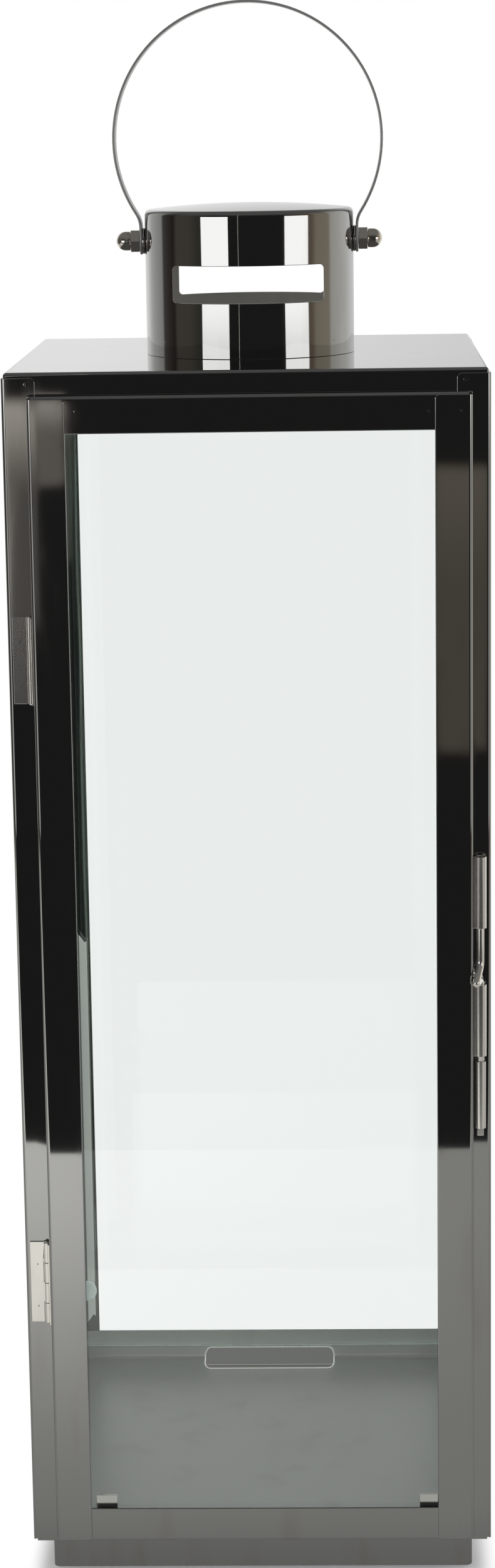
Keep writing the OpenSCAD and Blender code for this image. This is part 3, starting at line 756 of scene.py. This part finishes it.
@dataclass
class LanternBody(SubAssembly):
    """Roof, posts, floor, plinth, side panes and their retainers."""

    sheet_rim: float = 0.28 * MM
    strip_rim: float = 0.2 * MM
    # Rear strips: their top, where the rear leg's free edge and fold lie (past the fold the leg
    # takes the painted shade), and that edge's trim
    strip_top: float = 259.5 * MM
    strip_free: float = 96.0 * MM
    strip_fold_shade: float = 95.6 * MM
    strip_trim: float = 1.4 * MM
    floor_top: float = 24.5 * MM
    floor_bend: float = 2.5 * MM
    rail_face: float = 105.5 * MM
    # Air slot: half length, front edge on the floor, top edge on the rail, rounding of its corners
    slot_half: float = 34.25 * MM
    slot_front: float = 90.5 * MM
    slot_top: float = 30.5 * MM
    slot_corner: float = 3.3 * MM
    slot_corner_in: float = 9.0 * MM
    slot_corner_up: float = 5.0 * MM
    slot_steps: int = 6
    rim_radius: float = 0.36 * MM
    rim_lift: float = 0.12 * MM
    weld_radius: float = 1.0 * MM
    post_face: float = 107.5 * MM
    weld_x: float = 96.4 * MM
    weld_z: float = 558.8 * MM

    def build(self) -> None:
        """Shows the shell with rounded edges and adds its panes and weld marks."""
        looks = self.looks
        frame, sheet = Body.FRAME, Slot.SHEET
        ends = ("front_left", "front_right", "rear_left", "rear_right")
        posts, strips = (tuple(kind + end for end in ends) for kind in ("post_", "retainer_"))
        self.soften(("roof_pan", "plinth") + posts, frame, sheet, looks.sheet, self.sheet_rim)
        self.soften(strips[:2], frame, sheet, looks.strip, self.strip_rim)
        for strip in self.soften(
            strips[2:], frame, sheet, looks.strip, self.strip_rim, reshape=self.short_strip
        ):
            # The rear leg past the fold takes the strips' darker copy: painted shade
            add_finish(strip, looks.strip_fold_shade, lambda face: abs(face.center.x) > self.strip_fold_shade)
        floor = self.soften(("floor_pan",), frame, sheet, looks.floor_painted_shade, self.sheet_rim)[0]
        # The pan's upright faces above the floor take the paler copy, painted light, and its floor
        # keeps the darker one, painted shade
        add_finish(
            floor,
            looks.upstand_painted_light,
            lambda face: abs(face.normal.z) < 0.5 and face.center.z > self.floor_top,
        )
        self.slot_rim_highlight()
        for side in ("left", "right", "rear"):
            self.pane("pane_" + side, "glass_" + side, frame)
        spots = []
        for side in Side:
            for face in Side:
                along, out = side.value * self.weld_x, face.value * self.post_face
                spots.append(((along, out, self.weld_z), (0.0, face.value, 0.0)))
                along, out = face.value * self.weld_x, side.value * self.post_face
                spots.append(((out, along, self.weld_z), (side.value, 0.0, 0.0)))
        self.weld_marks("weld_marks_roof", frame, spots, self.weld_radius)

    def short_strip(self, shape: BMesh) -> None:
        """Shortens a rear strip, trims its rear leg and splits that leg at its fold line.

        Args:
            shape: The strip's sharp copy.
        """
        top = max(vert.co.z for vert in shape.verts)
        upper = [vert for vert in shape.verts if vert.co.z > top / 2]
        ops.translate(shape, verts=upper, vec=(0.0, 0.0, self.strip_top - top))
        free = [vert for vert in shape.verts if abs(vert.co.x) < self.strip_free]
        way = copysign(1.0, free[0].co.x)
        ops.translate(shape, verts=free, vec=(way * self.strip_trim, 0.0, 0.0))
        cut_at(shape, (way * self.strip_fold_shade, 0.0, 0.0), (1.0, 0.0, 0.0), False)

    def slot_rim_highlight(self) -> None:
        """Runs a fine rolled rim round the air slot, over the floor and up the rear rail, in a pale
        finish that paints a highlight on the cut edge.
        """
        half, reach, rise = self.slot_half, self.slot_corner, self.slot_corner_up
        floor, face, bend = self.floor_top, self.rail_face, self.floor_bend
        front, inward = self.slot_front, self.slot_corner_in
        quarter = quarter_arc(self.slot_steps)
        right = [
            Vector((half - reach * (1 - sin(a)), front + inward * (1 - cos(a)), floor))
            for a in quarter
        ]
        right += [
            Vector((half, face - bend * (1 - sin(a)), floor + bend * (1 - cos(a))))
            for a in quarter[:-1]
        ]
        start = asin((floor + bend - self.slot_top + rise) / rise)
        for i in range(self.slot_steps + 1):
            a = start + (QUARTER - start) * i / self.slot_steps
            x, z = half - reach * (1 - cos(a)), self.slot_top - rise * (1 - sin(a))
            right.append(Vector((x, face, z)))
        left = [Vector((-point.x, point.y, point.z)) for point in reversed(right)]
        lift = Vector((0.0, -1.0, 1.0)).normalized()
        stations = [(point + lift * self.rim_lift, self.rim_radius) for point in right + left]
        rim = sweep(stations, lift, 8, closed=True)
        settle(rim, "slot_rim_highlight", Body.FRAME, self.looks.slot_edge_highlight, 80.0)


@dataclass
class GlassDoor(SubAssembly):
    """Stiles, rails, pane, clips and bumper of the door."""

    face: float = -114.8 * MM
    sheet: float = 1.0 * MM
    sheet_rim: float = 0.42 * MM
    clip_rim: float = 0.25 * MM
    weld_radius: float = 0.7 * MM
    # Places of the marks in X and Z, on the rails' faces and on the stiles' faces
    rail_marks: tuple[Span, ...] = ((-74.4 * MM, 547.3 * MM), (80.1 * MM, 545.9 * MM))
    stile_marks: tuple[Span, ...] = (
        (94.3 * MM, 546.0 * MM),
        (-91.4 * MM, 26.3 * MM),
        (92.6 * MM, 26.3 * MM),
    )
    bumper_round: float = 0.7 * MM

    def build(self) -> None:
        """Shows the door with rounded edges and adds its pane, weld marks and bumper."""
        members = ("door_stile_hinge", "door_stile_latch", "door_rail_top", "door_rail_bottom")
        self.soften(members, Body.DOOR, Slot.SHEET, self.looks.sheet, self.sheet_rim)
        clips = ("glass_clips_lower", "glass_clips_upper")
        self.soften(clips, Body.DOOR, Slot.BRIGHT, self.looks.clip, self.clip_rim)
        self.pane("pane_door", "door_glass", Body.DOOR)
        rail = self.face + self.sheet
        spots = [((x, rail, z), FORWARD) for x, z in self.rail_marks]
        spots += [((x, self.face, z), FORWARD) for x, z in self.stile_marks]
        self.weld_marks("weld_marks_door", Body.DOOR, spots, self.weld_radius)
        self.bumper()

    def bumper(self) -> None:
        """Makes the soft dot with a rounded rim on the inside of the pane."""
        low, high = corners("bumper_dot")
        thick, radius = high.y - low.y, (high.x - low.x) / 2
        rim = rounded_end(thick, radius, self.bumper_round, 6)
        shape = turned([(0.0, 0.0), (0.0, radius)] + rim + [(thick, 0.0)], 56)
        place = Matrix.Translation(((low.x + high.x) / 2, low.y, (low.z + high.z) / 2))
        place = place @ Matrix.Rotation(QUARTER, 4, "Z")
        ops.transform(shape, matrix=place, verts=shape.verts)
        piece = settle(shape, "soft_bumper", Body.DOOR, self.looks.dot)
        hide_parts("bumper_dot")


@dataclass
class Hinges(SubAssembly):
    """Two butt hinges with domed pin ends and weld marks on their leaves."""

    pin_head: float = 0.95 * MM
    leaf_sheet: float = 0.7 * MM
    leaf_rim: float = 0.18 * MM
    weld_radius: float = 0.4 * MM
    mark_in: float = 3.4 * MM
    mark_shares: Span = (0.2, 0.72)
    dome_share: float = 0.7

    def build(self) -> None:
        """Shows both hinges and adds pin ends and weld marks."""
        bright = self.looks.bright
        flatten = Matrix.Diagonal((1.0, 1.0, self.dome_share, 1.0))
        for name in ("upper", "lower"):
            for body, leaf in ((Body.FRAME, "frame"), (Body.DOOR, "door")):
                node = f"{name}_hinge_{leaf}_leaf"
                self.soften((node,), body, Slot.BRIGHT, bright, self.leaf_rim)
            self.dress((f"{name}_hinge_pin",), bright)
            low, high = corners(f"{name}_hinge_pin")
            heads = bmesh.new()
            for z in (low.z, high.z):
                middle = Matrix.Translation(((low.x + high.x) / 2, (low.y + high.y) / 2, z))
                sizes = {"u_segments": 24, "v_segments": 12, "radius": self.pin_head}
                ops.create_uvsphere(heads, matrix=middle @ flatten, **sizes)
            settle(heads, f"{name}_hinge_pin_ends", Body.FRAME, bright, 80.0)
        face = corners("upper_hinge_frame_leaf")[1].y - self.leaf_sheet
        spots = []
        for node in ("upper_hinge_frame_leaf", "lower_hinge_frame_leaf"):
            low, high = corners(node)
            for share in self.mark_shares:
                z = low.z + share * (high.z - low.z)
                spots.append(((low.x + self.mark_in, face, z), FORWARD))
        self.weld_marks("weld_marks_hinges", Body.FRAME, spots, self.weld_radius)


@dataclass
class SlideBolt(SubAssembly):
    """Rod with a thumb bend, its two sleeves and the keeper."""

    rod_radius: float = 1.7 * MM
    tube_rim: float = 0.2 * MM
    travel: float = 14.0 * MM
    clearance_low: float = 0.5 * MM
    clearance_high: float = 1.6 * MM
    tip_drop: float = 0.6 * MM
    tip_out: Span = (-2.4 * MM, -7.2 * MM)
    bend: float = 2.6 * MM
    tip_bend: float = 1.7 * MM
    bend_steps: int = 12
    # The rod's rounded ends: how far in from the end, and the share of the radius there
    nose: tuple[Span, ...] = ((0.0, 0.08), (0.12, 0.45), (0.35, 0.78), (0.7, 1.0))

    def build(self) -> None:
        """Rounds the tubes' ends and bends the rod."""
        bright, rim = self.looks.bright, self.tube_rim
        sleeves = ("bolt_sleeve_upper", "bolt_sleeve_lower")
        self.soften(sleeves, Body.DOOR, Slot.BRIGHT, bright, rim)
        self.soften(("bolt_keeper",), Body.FRAME, Slot.BRIGHT, bright, rim)
        self.rod()

    def rod(self) -> None:
        """Sweeps the rod along its bent middle line and rounds its ends."""
        low, high = corners("bolt_rod")
        x, y = high.x - self.rod_radius, high.y - self.rod_radius
        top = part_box("bolt_sleeve_upper")[0][2] - self.travel
        above = top - self.rod_radius - self.clearance_high
        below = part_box("bolt_sleeve_lower")[1][2] + self.rod_radius + self.clearance_low
        tip = Vector((x + self.tip_out[0], y + self.tip_out[1], below - self.tip_drop))
        bends = [
            (Vector((x, y, below)), self.bend),
            (tip, self.tip_bend),
            (Vector((x, y, above)), self.bend),
        ]
        path = self.rounded_path(Vector((x, y, low.z)), bends, Vector((x, y, high.z)))
        r, (first, second), (last_but_one, last) = self.rod_radius, path[:2], path[-2:]
        down, up = (first - second).normalized(), (last - last_but_one).normalized()
        rings = [(first - down * r * inward, r * share) for inward, share in self.nose]
        rings += [(point, r) for point in path[1:-1]]
        rings += [(last - up * r * inward, r * share) for inward, share in self.nose[::-1]]
        shape = sweep(rings, Vector((1.0, 0.0, 0.0)), 28)
        bright = self.looks.bright
        piece = settle(shape, "bolt_rod_bent", Body.BOLT, bright, 50.0)
        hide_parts("bolt_rod")

    def rounded_path(
        self, start: Vector, bends: list[tuple[Vector, float]], end: Vector
    ) -> list[Vector]:
        """Rounds each corner of a line with a short curve.

        Args:
            start: The line's first point.
            bends: Each corner, and how far before it the curve starts.
            end: The line's last point.

        Returns:
            The points of the rounded line.
        """
        stops = [start] + [corner for corner, _ in bends] + [end]
        path = [start]
        for before, (corner, reach), after in zip(stops, bends, stops[2:]):
            enter = corner + (before - corner).normalized() * reach
            leave = corner + (after - corner).normalized() * reach
            for i in range(self.bend_steps + 1):
                t = i / self.bend_steps
                path.append(enter * (1 - t) ** 2 + corner * 2 * t * (1 - t) + leave * t * t)
        return path + [end]


@dataclass
class Chimney(SubAssembly):
    """Vented tube with its cap and the weld marks at its foot."""

    radius: float = 48.5 * MM
    rim: float = 0.25 * MM
    sheet: float = 1.0 * MM
    cap_edge: float = 2.5 * MM
    cap_dome: float = 2.5 * MM
    cap_spigot: float = 4.0 * MM
    cap_steps: int = 12
    spigot_gap: float = 0.05 * MM
    mark_z: float = 571.0 * MM
    mark_angles: tuple[float, ...] = (-52.6, 54.0, 127.0, -127.0)
    weld_radius: float = 0.6 * MM

    def build(self) -> None:
        """Rounds the tube's edges, turns the cap and adds the weld marks."""
        looks = self.looks
        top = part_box("chimney_tube")[1][2] - self.rim
        tube = self.soften(
            ("chimney_tube",), Body.FRAME, Slot.SHEET, looks.chimney, self.rim, below=top
        )[0]
        inward = -0.5 * self.radius
        # Faces that point to the axis take the inner copy: painted light
        add_finish(tube, looks.chimney_inner_painted_light, lambda face: face.center.xy.dot(face.normal.xy) < inward)
        self.cap()
        spots = []
        for degrees in self.mark_angles:
            a = radians(degrees)
            x, y = sin(a), -cos(a)
            spots.append(((self.radius * x, self.radius * y, self.mark_z), (x, y, 0.0)))
        self.weld_marks("weld_marks_chimney", Body.FRAME, spots, self.weld_radius)

    def cap(self) -> None:
        """Turns the cap: a shallow dome, a rounded edge and a spigot that fits the tube."""
        low, high = corners("chimney_cap")
        rim_r = (high.x - low.x) / 2
        crown_r = rim_r - self.cap_edge
        seat = low.z + self.cap_spigot
        dome_r = (crown_r**2 + self.cap_dome**2) / (2 * self.cap_dome)
        slope = asin(crown_r / dome_r)
        bore_r = rim_r - self.sheet - self.spigot_gap
        inner_r = bore_r - self.sheet
        profile = []
        for i in range(self.cap_steps + 1):
            a = slope * i / self.cap_steps
            profile.append((high.z - dome_r * (1 - cos(a)), dome_r * sin(a)))
        for i in range(1, self.cap_steps + 1):
            a = QUARTER - slope - (QUARTER - slope) * i / self.cap_steps
            profile.append((seat + self.cap_edge * sin(a), crown_r + self.cap_edge * cos(a)))
        profile += [(seat, bore_r), (low.z, bore_r), (low.z, inner_r)]
        profile += [(seat + self.cap_edge - self.sheet, inner_r), (high.z - self.sheet, 0.0)]
        shape = turned(profile, 128)
        ops.transform(shape, matrix=Matrix.Rotation(-QUARTER, 4, "Y"), verts=shape.verts)
        chimney = self.looks.chimney
        piece = settle(shape, "chimney_cap_turned", Body.FRAME, chimney)
        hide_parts("chimney_cap")


@dataclass
class CarryHandle(SubAssembly):
    """Strip handle on two pivot bolts with washers and cap nuts."""

    strip_rim: float = 0.45 * MM
    thread: float = 6.0 * MM
    # Cap nut: width across flats, hexagon's length, dome, chamfer's reach and slope, collar
    nut_flats: float = 9.8 * MM
    hexagon: float = 4.2 * MM
    dome: float = 8.8 * MM
    chamfer: float = 1.045 * MM
    chamfer_slope: Span = (0.5, 0.866)
    collar_share: float = 0.97
    collar_sink: float = 0.3 * MM
    collar_top: float = 0.35 * MM
    collar_end: float = 0.6 * MM
    washer_round: float = 0.4 * MM

    def build(self) -> None:
        """Shows the strip and the bolts, and makes washers and cap nuts."""
        handle, warm = self.looks.handle, self.looks.warm
        self.soften(("handle_strip",), Body.HANDLE, Slot.SHEET, handle, self.strip_rim)
        self.dress(("pivot_bolt_left", "pivot_bolt_right"), warm)
        for side in Side:
            end = side.name.lower()
            for node, name, make, smooth in (
                ("cap_nut_" + end, f"cap_nut_{end}_turned", self.cap_nut, 24.0),
                ("spacer_" + end, "washer_" + end, self.washer, 35.0),
            ):
                low, high = corners(node)
                middle = (low + high) / 2
                inner = low.x if side is Side.RIGHT else high.x
                mirror = Matrix.Diagonal((side.value, 1.0, 1.0, 1.0))
                place = Matrix.Translation((inner, middle.y, middle.z)) @ mirror
                shape = make(low, high)
                ops.transform(shape, matrix=place, verts=shape.verts)
                piece = settle(shape, name, Body.FRAME, warm, smooth)
                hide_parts(node)

    def cap_nut(self, low: Vector, high: Vector) -> BMesh:
        """Makes a hexagon with chamfered corners, a collar and a round dome.

        Args:
            low: The lowest corner of the nut's box.
            high: Its highest corner.

        Returns:
            The nut, which stands on X = 0 and points along +X.
        """
        length = high.x - low.x
        corner = self.nut_flats / sqrt(3)
        place = Matrix.Translation((self.hexagon / 2, 0, 0)) @ Matrix.Rotation(QUARTER, 4, "Y")
        shape = bmesh.new()
        sizes = {"radius1": corner, "radius2": corner, "depth": self.hexagon}
        ops.create_cone(shape, cap_ends=True, segments=6, matrix=place, **sizes)
        outward, along = self.chamfer_slope
        for step in range(6):
            a = radians(60 * step)
            radial = Vector((0, sin(a), cos(a)))
            for end, way in ((0.0, -1.0), (self.hexagon, 1.0)):
                point = Vector((end, 0, 0)) + radial * (corner - self.chamfer)
                normal = (radial * outward + Vector((way * along, 0, 0))).normalized()
                cut = cut_at(shape, point, normal, True)
                rim = [part for part in cut if isinstance(part, BMEdge)]
                if rim:
                    ops.holes_fill(shape, edges=rim, sides=0)
        r = self.dome / 2
        neck = length - r
        collar = r * self.collar_share
        foot = self.hexagon - self.collar_sink
        profile = [(foot, 0.0), (foot, collar), (self.hexagon + self.collar_top, collar)]
        profile += [(self.hexagon + self.collar_end, r), (neck, r)]
        profile += [(neck + r * sin(a), r * cos(a)) for a in quarter_arc(9)[1:-1]]
        return turned(profile + [(length, 0.0)], 48, shape)

    def washer(self, low: Vector, high: Vector) -> BMesh:
        """Makes a washer with rounded rims.

        Args:
            low: The lowest corner of the washer's box.
            high: Its highest corner.

        Returns:
            The washer, which stands on X = 0 and points along +X.
        """
        thick, r, bore = high.x - low.x, (high.z - low.z) / 2, self.thread / 2
        soft, steps = self.washer_round, 4
        start = [(soft - soft * cos(a), r - soft + soft * sin(a)) for a in quarter_arc(steps)]
        outer = start + rounded_end(thick, r, soft, steps)
        return turned([(0.0, bore)] + outer + [(thick, bore), (0.0, bore)], 56)


# Studio --------------------


@dataclass(frozen=True)
class LightCard:
    """A plain upright card with soft edges that only metal and glass mirror."""

    name: str
    place: Point
    width: float
    height: float
    radiance: RGB
    lower_share: float = 1.0
    rise: Span = (0.55, 0.95)
    fade: float = 0.02
    # Glow below which the card turns clear
    clear_below: float = 0.15

    def make(self) -> None:
        """Sets the card up, facing the lantern's axis."""
        shape = bmesh.new()
        shape.loops.layers.uv.new("card")
        turn = atan2(self.place[0], -self.place[1])
        place = (
            Matrix.Translation(self.place)
            @ Matrix.Rotation(turn, 4, "Z")
            @ Matrix.Rotation(QUARTER, 4, "X")
            @ Matrix.Diagonal((self.width, self.height, 1.0, 1.0))
        )
        ops.create_grid(
            shape, x_segments=1, y_segments=1, size=0.5, matrix=place, calc_uvs=True
        )
        card = as_object(shape, self.name)
        material, sheet = new_material(self.name)
        axes = sheet.node("SeparateXYZ", Vector=sheet.node("TexCoord").outputs["UV"])
        glow = sheet.ramp(axes.outputs[1], self.rise, (self.lower_share, 1.0))
        for axis in axes.outputs[:2]:
            off = sheet.math("ABSOLUTE", sheet.math("SUBTRACT", axis, 0.5))
            soft_edge = sheet.ramp(off, (0.5 - self.fade, 0.5), (1.0, 0.0))
            glow = sheet.math("MULTIPLY", glow, soft_edge)
        lit = sheet.node("Emission", Color=self.radiance, Strength=glow)
        inside = sheet.ramp(glow, (0.0, self.clear_below))
        skin = sheet.either(inside, sheet.node("BsdfTransparent"), lit)
        sheet.node("OutputMaterial", Surface=skin.outputs[0])
        card.data.materials.append(material)
        card.visible_camera = False
        card.visible_diffuse = False
        card.visible_shadow = False
        card.visible_transmission = False


@dataclass(frozen=True)
class Tabletop:
    """Pale tabletop that keeps the shadow near the lantern and is white further off; through one
    pane and in metal it shows painted shadow and light.
    """

    front: float = -0.765
    back: float = 3.0
    half: float = 1.6
    thick: float = 0.03
    paper: RGB = (0.86, 0.86, 0.86)
    # Distance from the axis over which the paper turns into plain white
    white_from: Span = (0.1, 0.112)
    # Through one pane the ground behind the lantern shows a painted shadow, a dim grey glow, up to
    # this distance
    painted_shadow_up_to: Span = (0.19, 0.205)
    painted_shadow: RGB = (0.98, 1.0, 0.98)
    painted_shadow_glow: float = 0.12
    # Counts of passages into and out of glass that stand for a look through one pane
    one_pane: Span = (0.5, 3.5)
    # What metal mirrors is a painted glow: painted shade round the foot, a glow that grows further
    # in front, a painted pool of light at the front's left, and a glow behind
    mirrored: RGB = (1.0, 0.995, 0.95)
    foot_reach: Span = (0.09, 0.2)
    foot_shade_glow: Span = (0.25, 0.36)
    front_reach: Span = (0.12, 0.75)
    front_glow: float = 0.09
    left_reach: Span = (-0.16, 0.12)
    left_light_glow: float = 0.5
    behind_reach: Span = (0.1, 0.9)
    behind_glow: Span = (0.0, 0.5)

    def make(self) -> None:
        """Lays the tabletop on the ground."""
        low = Vector((-self.half, self.front, -self.thick))
        top = as_object(block(low, Vector((self.half, self.back, 0.0))), "tabletop")
        material, sheet = new_material("pale_tabletop")
        x, y, _ = sheet.node("SeparateXYZ", Vector=sheet.place()).outputs
        away = sheet.math("MAXIMUM", sheet.math("ABSOLUTE", x), sheet.math("ABSOLUTE", y))
        # A painted glow for metal to mirror: dim round the foot and near the front, lighter at the
        # front's left
        far = sheet.ramp(sheet.math("MULTIPLY", y, -1.0), self.front_reach)
        left = sheet.math("MULTIPLY", far, sheet.ramp(x, self.left_reach, (1.0, 0.0)))
        tone = sheet.math("MULTIPLY", far, self.front_glow)
        for more in (
            sheet.math("MULTIPLY", left, self.left_light_glow),
            sheet.ramp(away, self.foot_reach, self.foot_shade_glow),
            sheet.ramp(y, self.behind_reach, self.behind_glow),
        ):
            tone = sheet.math("ADD", tone, more)
        glow = sheet.node("Emission", Color=self.mirrored, Strength=tone)
        depth = sheet.node("LightPath").outputs["Transmission Depth"]
        inside = sheet.math("GREATER_THAN", depth, self.one_pane[0])
        glazed = sheet.math("MULTIPLY", inside, sheet.math("LESS_THAN", depth, self.one_pane[1]))
        choice = sheet.node("Mix", Factor=glazed)
        sheet.feed(choice.inputs[2], sheet.ramp(away, self.white_from))
        sheet.feed(choice.inputs[3], sheet.ramp(away, self.painted_shadow_up_to))
        paper = sheet.node("BsdfDiffuse", Color=self.paper)
        # A dim glow seen through one pane: painted shadow on the ground behind the lantern
        painted_shadow = sheet.node("Emission", Color=self.painted_shadow, Strength=self.painted_shadow_glow)
        white = sheet.node("Emission", Color=WHITE, Strength=1.0)
        ground = sheet.either(choice.outputs[0], sheet.either(glazed, paper, painted_shadow), white)
        both = sheet.either(sheet.seen_straight(), glow, ground)
        sheet.node("OutputMaterial", Surface=both.outputs[0])
        top.data.materials.append(material)


@dataclass(frozen=True)
class Surroundings:
    """The world: white where it is seen, and a lit studio where metal mirrors it."""

    ceiling: RGB = (0.13, 0.13, 0.13)
    ceiling_from: Span = (radians(8), radians(50))
    scattered: RGB = (0.9, 0.9, 0.9)
    # Tones of the walls all round: degrees from the front, negative to the left
    walls: tuple[tuple[float, RGB], ...] = (
        (-180.0, (0.80, 0.80, 0.80)),
        (-176.0, (0.90, 0.90, 0.90)),
        (-150.0, (0.92, 0.92, 0.92)),
        (-134.0, (0.60, 0.60, 0.58)),
        (-112.0, (0.40, 0.40, 0.385)),
        (-109.0, (0.09, 0.085, 0.08)),
        (-100.0, (0.05, 0.043, 0.038)),
        (-91.0, (0.03, 0.024, 0.02)),
        (-86.0, (0.09, 0.078, 0.068)),
        (-68.0, (0.085, 0.075, 0.062)),
        (-58.0, (0.055, 0.055, 0.045)),
        (-40.0, (0.02, 0.02, 0.02)),
        (36.0, (0.02, 0.02, 0.02)),
        (60.0, (0.14, 0.11, 0.09)),
        (74.0, (0.18, 0.14, 0.11)),
        (80.0, (0.31, 0.275, 0.215)),
        (99.0, (0.34, 0.305, 0.24)),
        (103.0, (0.58, 0.56, 0.52)),
        (125.0, (0.72, 0.72, 0.69)),
        (150.0, (0.84, 0.84, 0.84)),
        (177.0, (0.72, 0.72, 0.72)),
        (180.0, (0.80, 0.80, 0.80)),
    )

    def make(self) -> None:
        """Paints the world."""
        world = bpy.data.worlds.new("studio")
        bpy.context.scene.world = world
        world.use_nodes = True
        sheet = ShaderSheet(world.node_tree)
        x, y, z = sheet.node(
            "SeparateXYZ", Vector=sheet.node("TexCoord").outputs["Generated"]
        ).outputs
        turn = sheet.math("ARCTAN2", x, sheet.math("MULTIPLY", y, -1.0))
        # 0 to 1 for a full turn from behind over the left to behind again
        share = sheet.math("MULTIPLY_ADD", turn, 1.0 / tau, 0.5)
        walls = sheet.node("ValToRGB", Fac=share)
        stops = walls.color_ramp.elements
        stops.remove(stops[0])
        stops[0].position, stops[0].color = 0.0, (*self.walls[0][1], 1.0)
        for degrees, tone in self.walls[1:]:
            stops.new((degrees + 180.0) / 360.0).color = (*tone, 1.0)
        over = sheet.ramp(sheet.math("ARCSINE", z), self.ceiling_from)
        studio = sheet.blend(over, walls.outputs[0], self.ceiling)
        diffuse = sheet.node("LightPath").outputs["Diffuse Depth"]
        soft = sheet.blend(sheet.math("GREATER_THAN", diffuse, ONCE), studio, self.scattered)
        final = sheet.blend(sheet.seen_straight(), soft, WHITE)
        glow = sheet.node("Background", Color=final, Strength=1.0)
        sheet.node("OutputWorld", Surface=glow.outputs[0])


# What both soft boxes share
SOFT_BOX = {"height": 0.62, "radiance": (2.1, 2.1, 2.09), "lower_share": 0.28, "rise": (0.46, 0.70)}


@dataclass
class Studio:
    """Tabletop, surroundings, soft boxes and cards that metal mirrors, and a soft lamp."""

    cards: tuple[LightCard, ...] = (
        LightCard("soft_box_left", (-0.77, -1.03, 0.41), width=0.72, **SOFT_BOX),
        LightCard("soft_box_right", (1.04, -0.76, 0.41), width=0.66, **SOFT_BOX),
        LightCard(
            "front_card_left", (-0.245, -1.565, 0.325), width=0.04, height=0.22,
            radiance=(0.62, 0.58, 0.52), lower_share=0.22, fade=0.08,
        ),
        LightCard(
            "front_card_upper", (-0.211, -1.565, 0.39), width=0.034, height=0.09,
            radiance=(0.50, 0.46, 0.42), lower_share=0.4, fade=0.12,
        ),
        LightCard(
            "front_card_right", (0.152, -1.565, 0.235), width=0.056, height=0.27,
            radiance=(0.17, 0.15, 0.125), lower_share=0.7, fade=0.06,
        ),
        LightCard(
            "light_strip", (-0.22, -1.18, 0.85), width=0.007, height=1.2, radiance=(0.9, 0.86, 0.8)
        ),
    )
    lamp_size: float = 2.0
    lamp_power: float = 12.0
    lamp_place: Point = (0.3, -0.4, 2.6)
    lamp_tilt: float = radians(8)

    def build(self) -> None:
        """Builds the table, the surroundings, the cards and the lamp."""
        Tabletop().make()
        Surroundings().make()
        for card in self.cards:
            card.make()
        lamp = bpy.data.lights.new("soft_top_lamp", "AREA")
        lamp.shape, lamp.size, lamp.size_y = "RECTANGLE", self.lamp_size, self.lamp_size
        lamp.energy = self.lamp_power
        holder = bpy.data.objects.new("soft_top_lamp", lamp)
        holder.location = self.lamp_place
        holder.rotation_euler = (self.lamp_tilt, 0.0, 0.0)
        holder.visible_glossy = False
        bpy.context.scene.collection.objects.link(holder)


@dataclass(frozen=True)
class PhotoCamera:
    """The camera at the photograph's place, found from the body's edges."""

    place: Point = (0.0376606, -1.5651098, 0.6786057)
    pitch: float = 0.2023391
    yaw: float = 0.0269485
    roll: float = 0.0147660
    focal_px: float = 5299.7077
    long_side_px: float = 2500.0
    sensor: float = 36.0
    clip: Span = (0.05, 50.0)

    def make(self) -> None:
        """Sets the scene's camera."""
        data = bpy.data.cameras.new("photo_camera")
        data.sensor_fit, data.sensor_width = "AUTO", self.sensor
        data.lens = self.focal_px / self.long_side_px * self.sensor
        data.clip_start, data.clip_end = self.clip
        turn = Matrix.Rotation(self.yaw, 3, "Z")
        ahead = turn @ Vector((0.0, cos(self.pitch), -sin(self.pitch)))
        across = turn @ Vector((1.0, 0.0, 0.0))
        down = turn @ Vector((0.0, -sin(self.pitch), -cos(self.pitch)))
        c, s = cos(self.roll), sin(self.roll)
        right, below = c * across + s * down, c * down - s * across
        camera = bpy.data.objects.new("photo_camera", data)
        axes = Matrix((right, -below, -ahead)).transposed()
        camera.matrix_world = Matrix.Translation(self.place) @ axes.to_4x4()
        bpy.context.scene.collection.objects.link(camera)
        bpy.context.scene.camera = camera


def main() -> None:
    """Builds the lantern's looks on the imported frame."""
    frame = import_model()
    bpy.context.scene.view_settings.view_transform = "Standard"
    PhotoCamera().make()
    finishes = FinishSet()
    nodes = frame["nodes"]
    for group in (LanternBody, GlassDoor, Hinges, SlideBolt, Chimney, CarryHandle):
        LOG.info("building %s", group.__name__)
        group(nodes, finishes).build()
    Studio().build()


if __name__ == "__main__":
    main()
